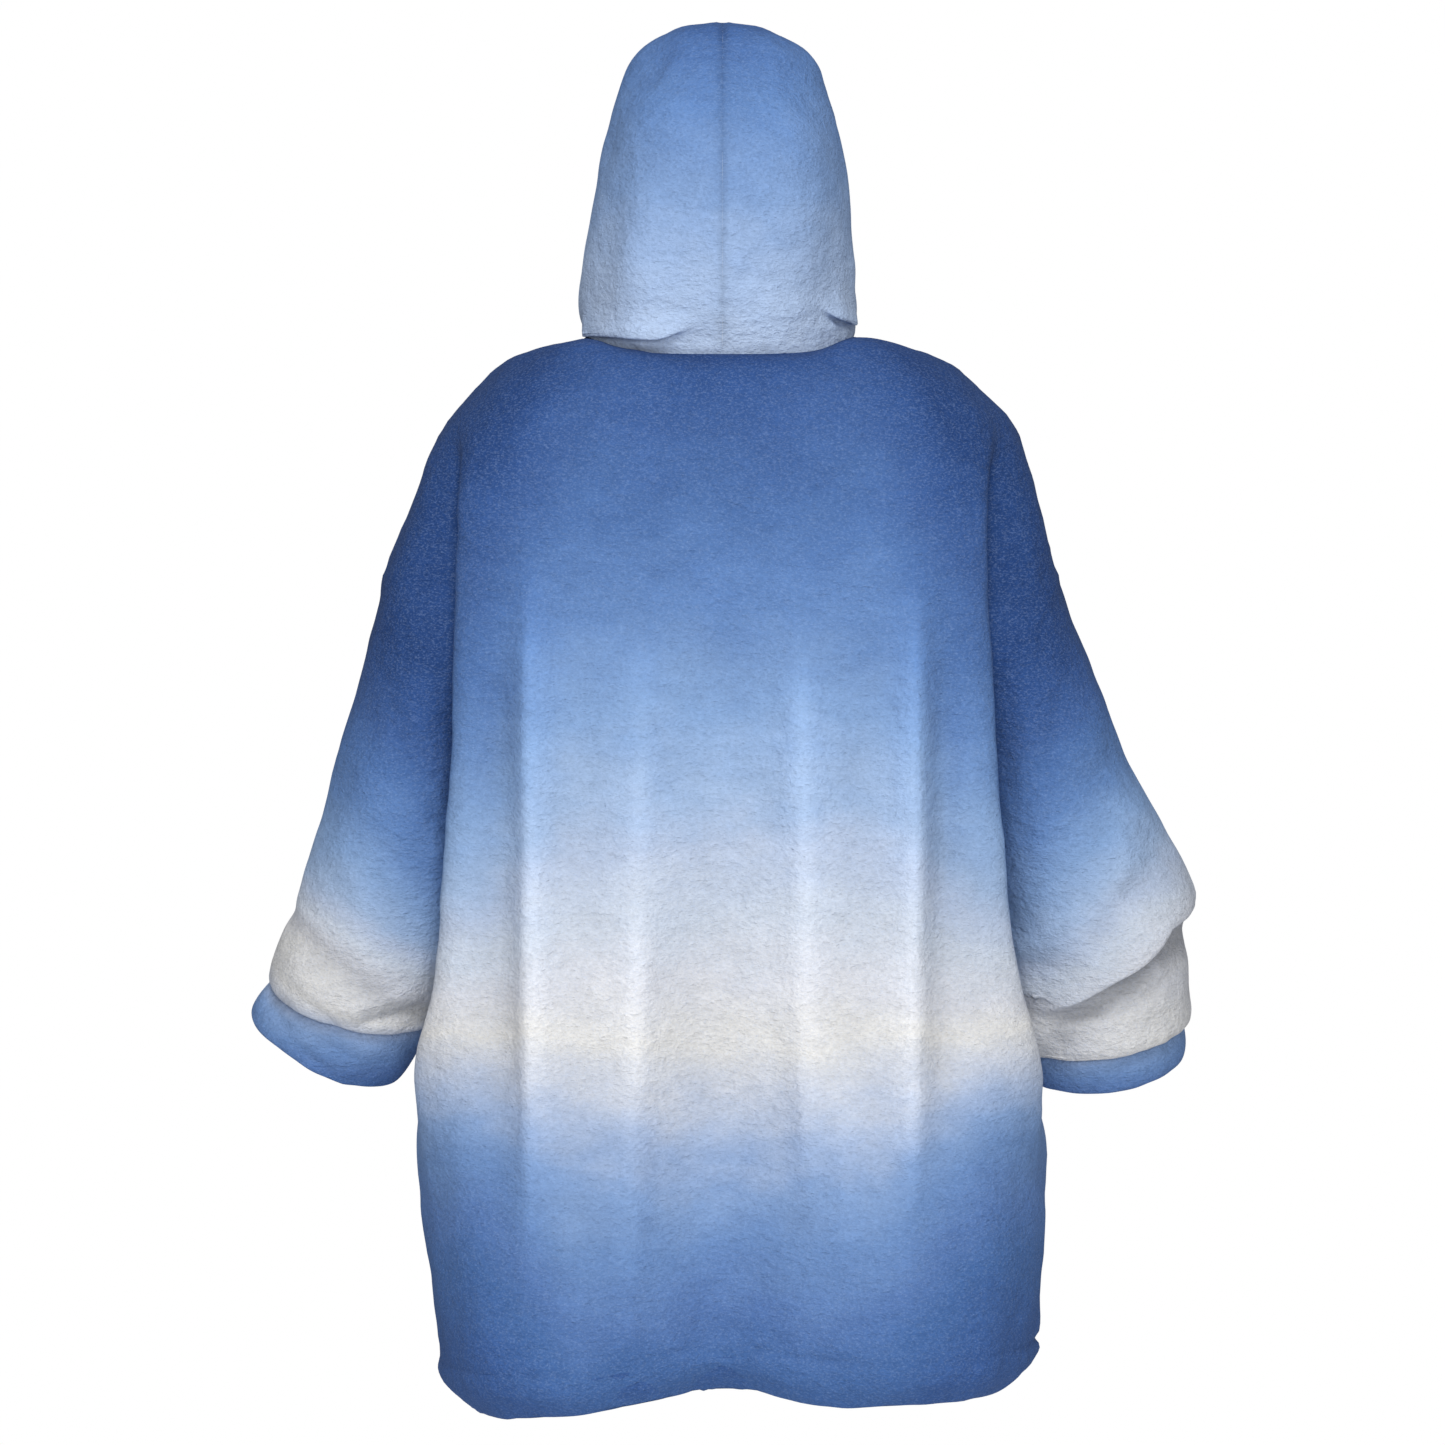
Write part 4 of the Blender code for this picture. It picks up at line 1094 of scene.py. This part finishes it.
class HOODIE_OT_stage(bpy.types.Operator):
    """Set up the floor, the soft light and the camera"""

    bl_idname = "hoodie.stage"
    bl_label = "Studio"

    def execute(self, context):
        stage = context.scene.hoodie_stage
        # Seamless studio paper, uncoated: matt and almost white.
        paper, _ = new_material("studio paper, uncoated", {
            "Base Color": tuple(stage.floor_colour) + (1.0,), "Roughness": 0.9})
        mesh = bmesh.new()
        bmesh.ops.create_grid(mesh, x_segments=1, y_segments=1, size=stage.floor_size / 2)
        bmesh.ops.translate(mesh, verts=mesh.verts, vec=(0.0, 0.0, stage.floor_height))
        mesh_object("paper_floor", mesh, paper)
        soft_light("key_light", *KEY_LIGHT, stage.key_power)
        soft_light("front_light", *FRONT_LIGHT, stage.front_power)
        world = bpy.data.worlds.new("studio")
        world.use_nodes = True
        tree = world.node_tree
        # White paper behind the garment, which gives back only a part of the light as fill.
        fill = tree.nodes["Background"]
        fill.inputs["Color"].default_value = (1.0, 1.0, 1.0, 1.0)
        fill.inputs["Strength"].default_value = stage.fill_strength
        paper_wall = add_node(tree, "ShaderNodeBackground", {"Color": (1.0, 1.0, 1.0, 1.0)})
        seen = add_node(tree, "ShaderNodeLightPath")
        both = add_node(tree, "ShaderNodeMixShader", links={
            0: (seen, "Is Camera Ray"), 1: (fill, "Background"), 2: (paper_wall, "Background")})
        tree.links.new(both.outputs["Shader"], tree.nodes["World Output"].inputs["Surface"])
        context.scene.world = world
        context.scene.view_settings.view_transform = "Standard"
        lens = bpy.data.cameras.new("camera")
        lens.sensor_width = SENSOR_MM
        lens.lens = SENSOR_MM * CAMERA_DISTANCE / VIEW_WIDTH
        context.scene.camera = aimed(new_object("camera", lens), (0.0, CAMERA_DISTANCE, CAMERA_HEIGHT))
        return {"FINISHED"}


OPERATORS = (HOODIE_OT_stage, HOODIE_OT_body, HOODIE_OT_sleeves, HOODIE_OT_cuffs, HOODIE_OT_hood,
             HOODIE_OT_hem_band)


class HOODIE_PT_panel(bpy.types.Panel):
    """The hoodie's steps and sizes"""

    bl_idname = "HOODIE_PT_panel"
    bl_label = "Plush hoodie"
    bl_space_type = "VIEW_3D"
    bl_region_type = "UI"
    bl_category = "Hoodie"

    def draw(self, context):
        for group in (context.scene.hoodie_cloth, context.scene.hoodie_stage):
            for name in group.__annotations__:
                self.layout.prop(group, name)
        for step in OPERATORS:
            self.layout.operator(step.bl_idname)


CLASSES = (HoodieCloth, HoodieStage, *OPERATORS, HOODIE_PT_panel)


def register():
    for each in CLASSES:
        bpy.utils.register_class(each)
    bpy.types.Scene.hoodie_cloth = bpy.props.PointerProperty(type=HoodieCloth)
    bpy.types.Scene.hoodie_stage = bpy.props.PointerProperty(type=HoodieStage)


def unregister():
    del bpy.types.Scene.hoodie_stage
    del bpy.types.Scene.hoodie_cloth
    for each in reversed(CLASSES):
        bpy.utils.unregister_class(each)


def main():
    """Register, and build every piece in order."""
    register()
    bpy.ops.hoodie.stage()
    bpy.ops.hoodie.body()
    bpy.ops.hoodie.sleeves()
    bpy.ops.hoodie.cuffs()
    bpy.ops.hoodie.hood()
    bpy.ops.hoodie.hem_band()


if __name__ == "__main__":
    main()
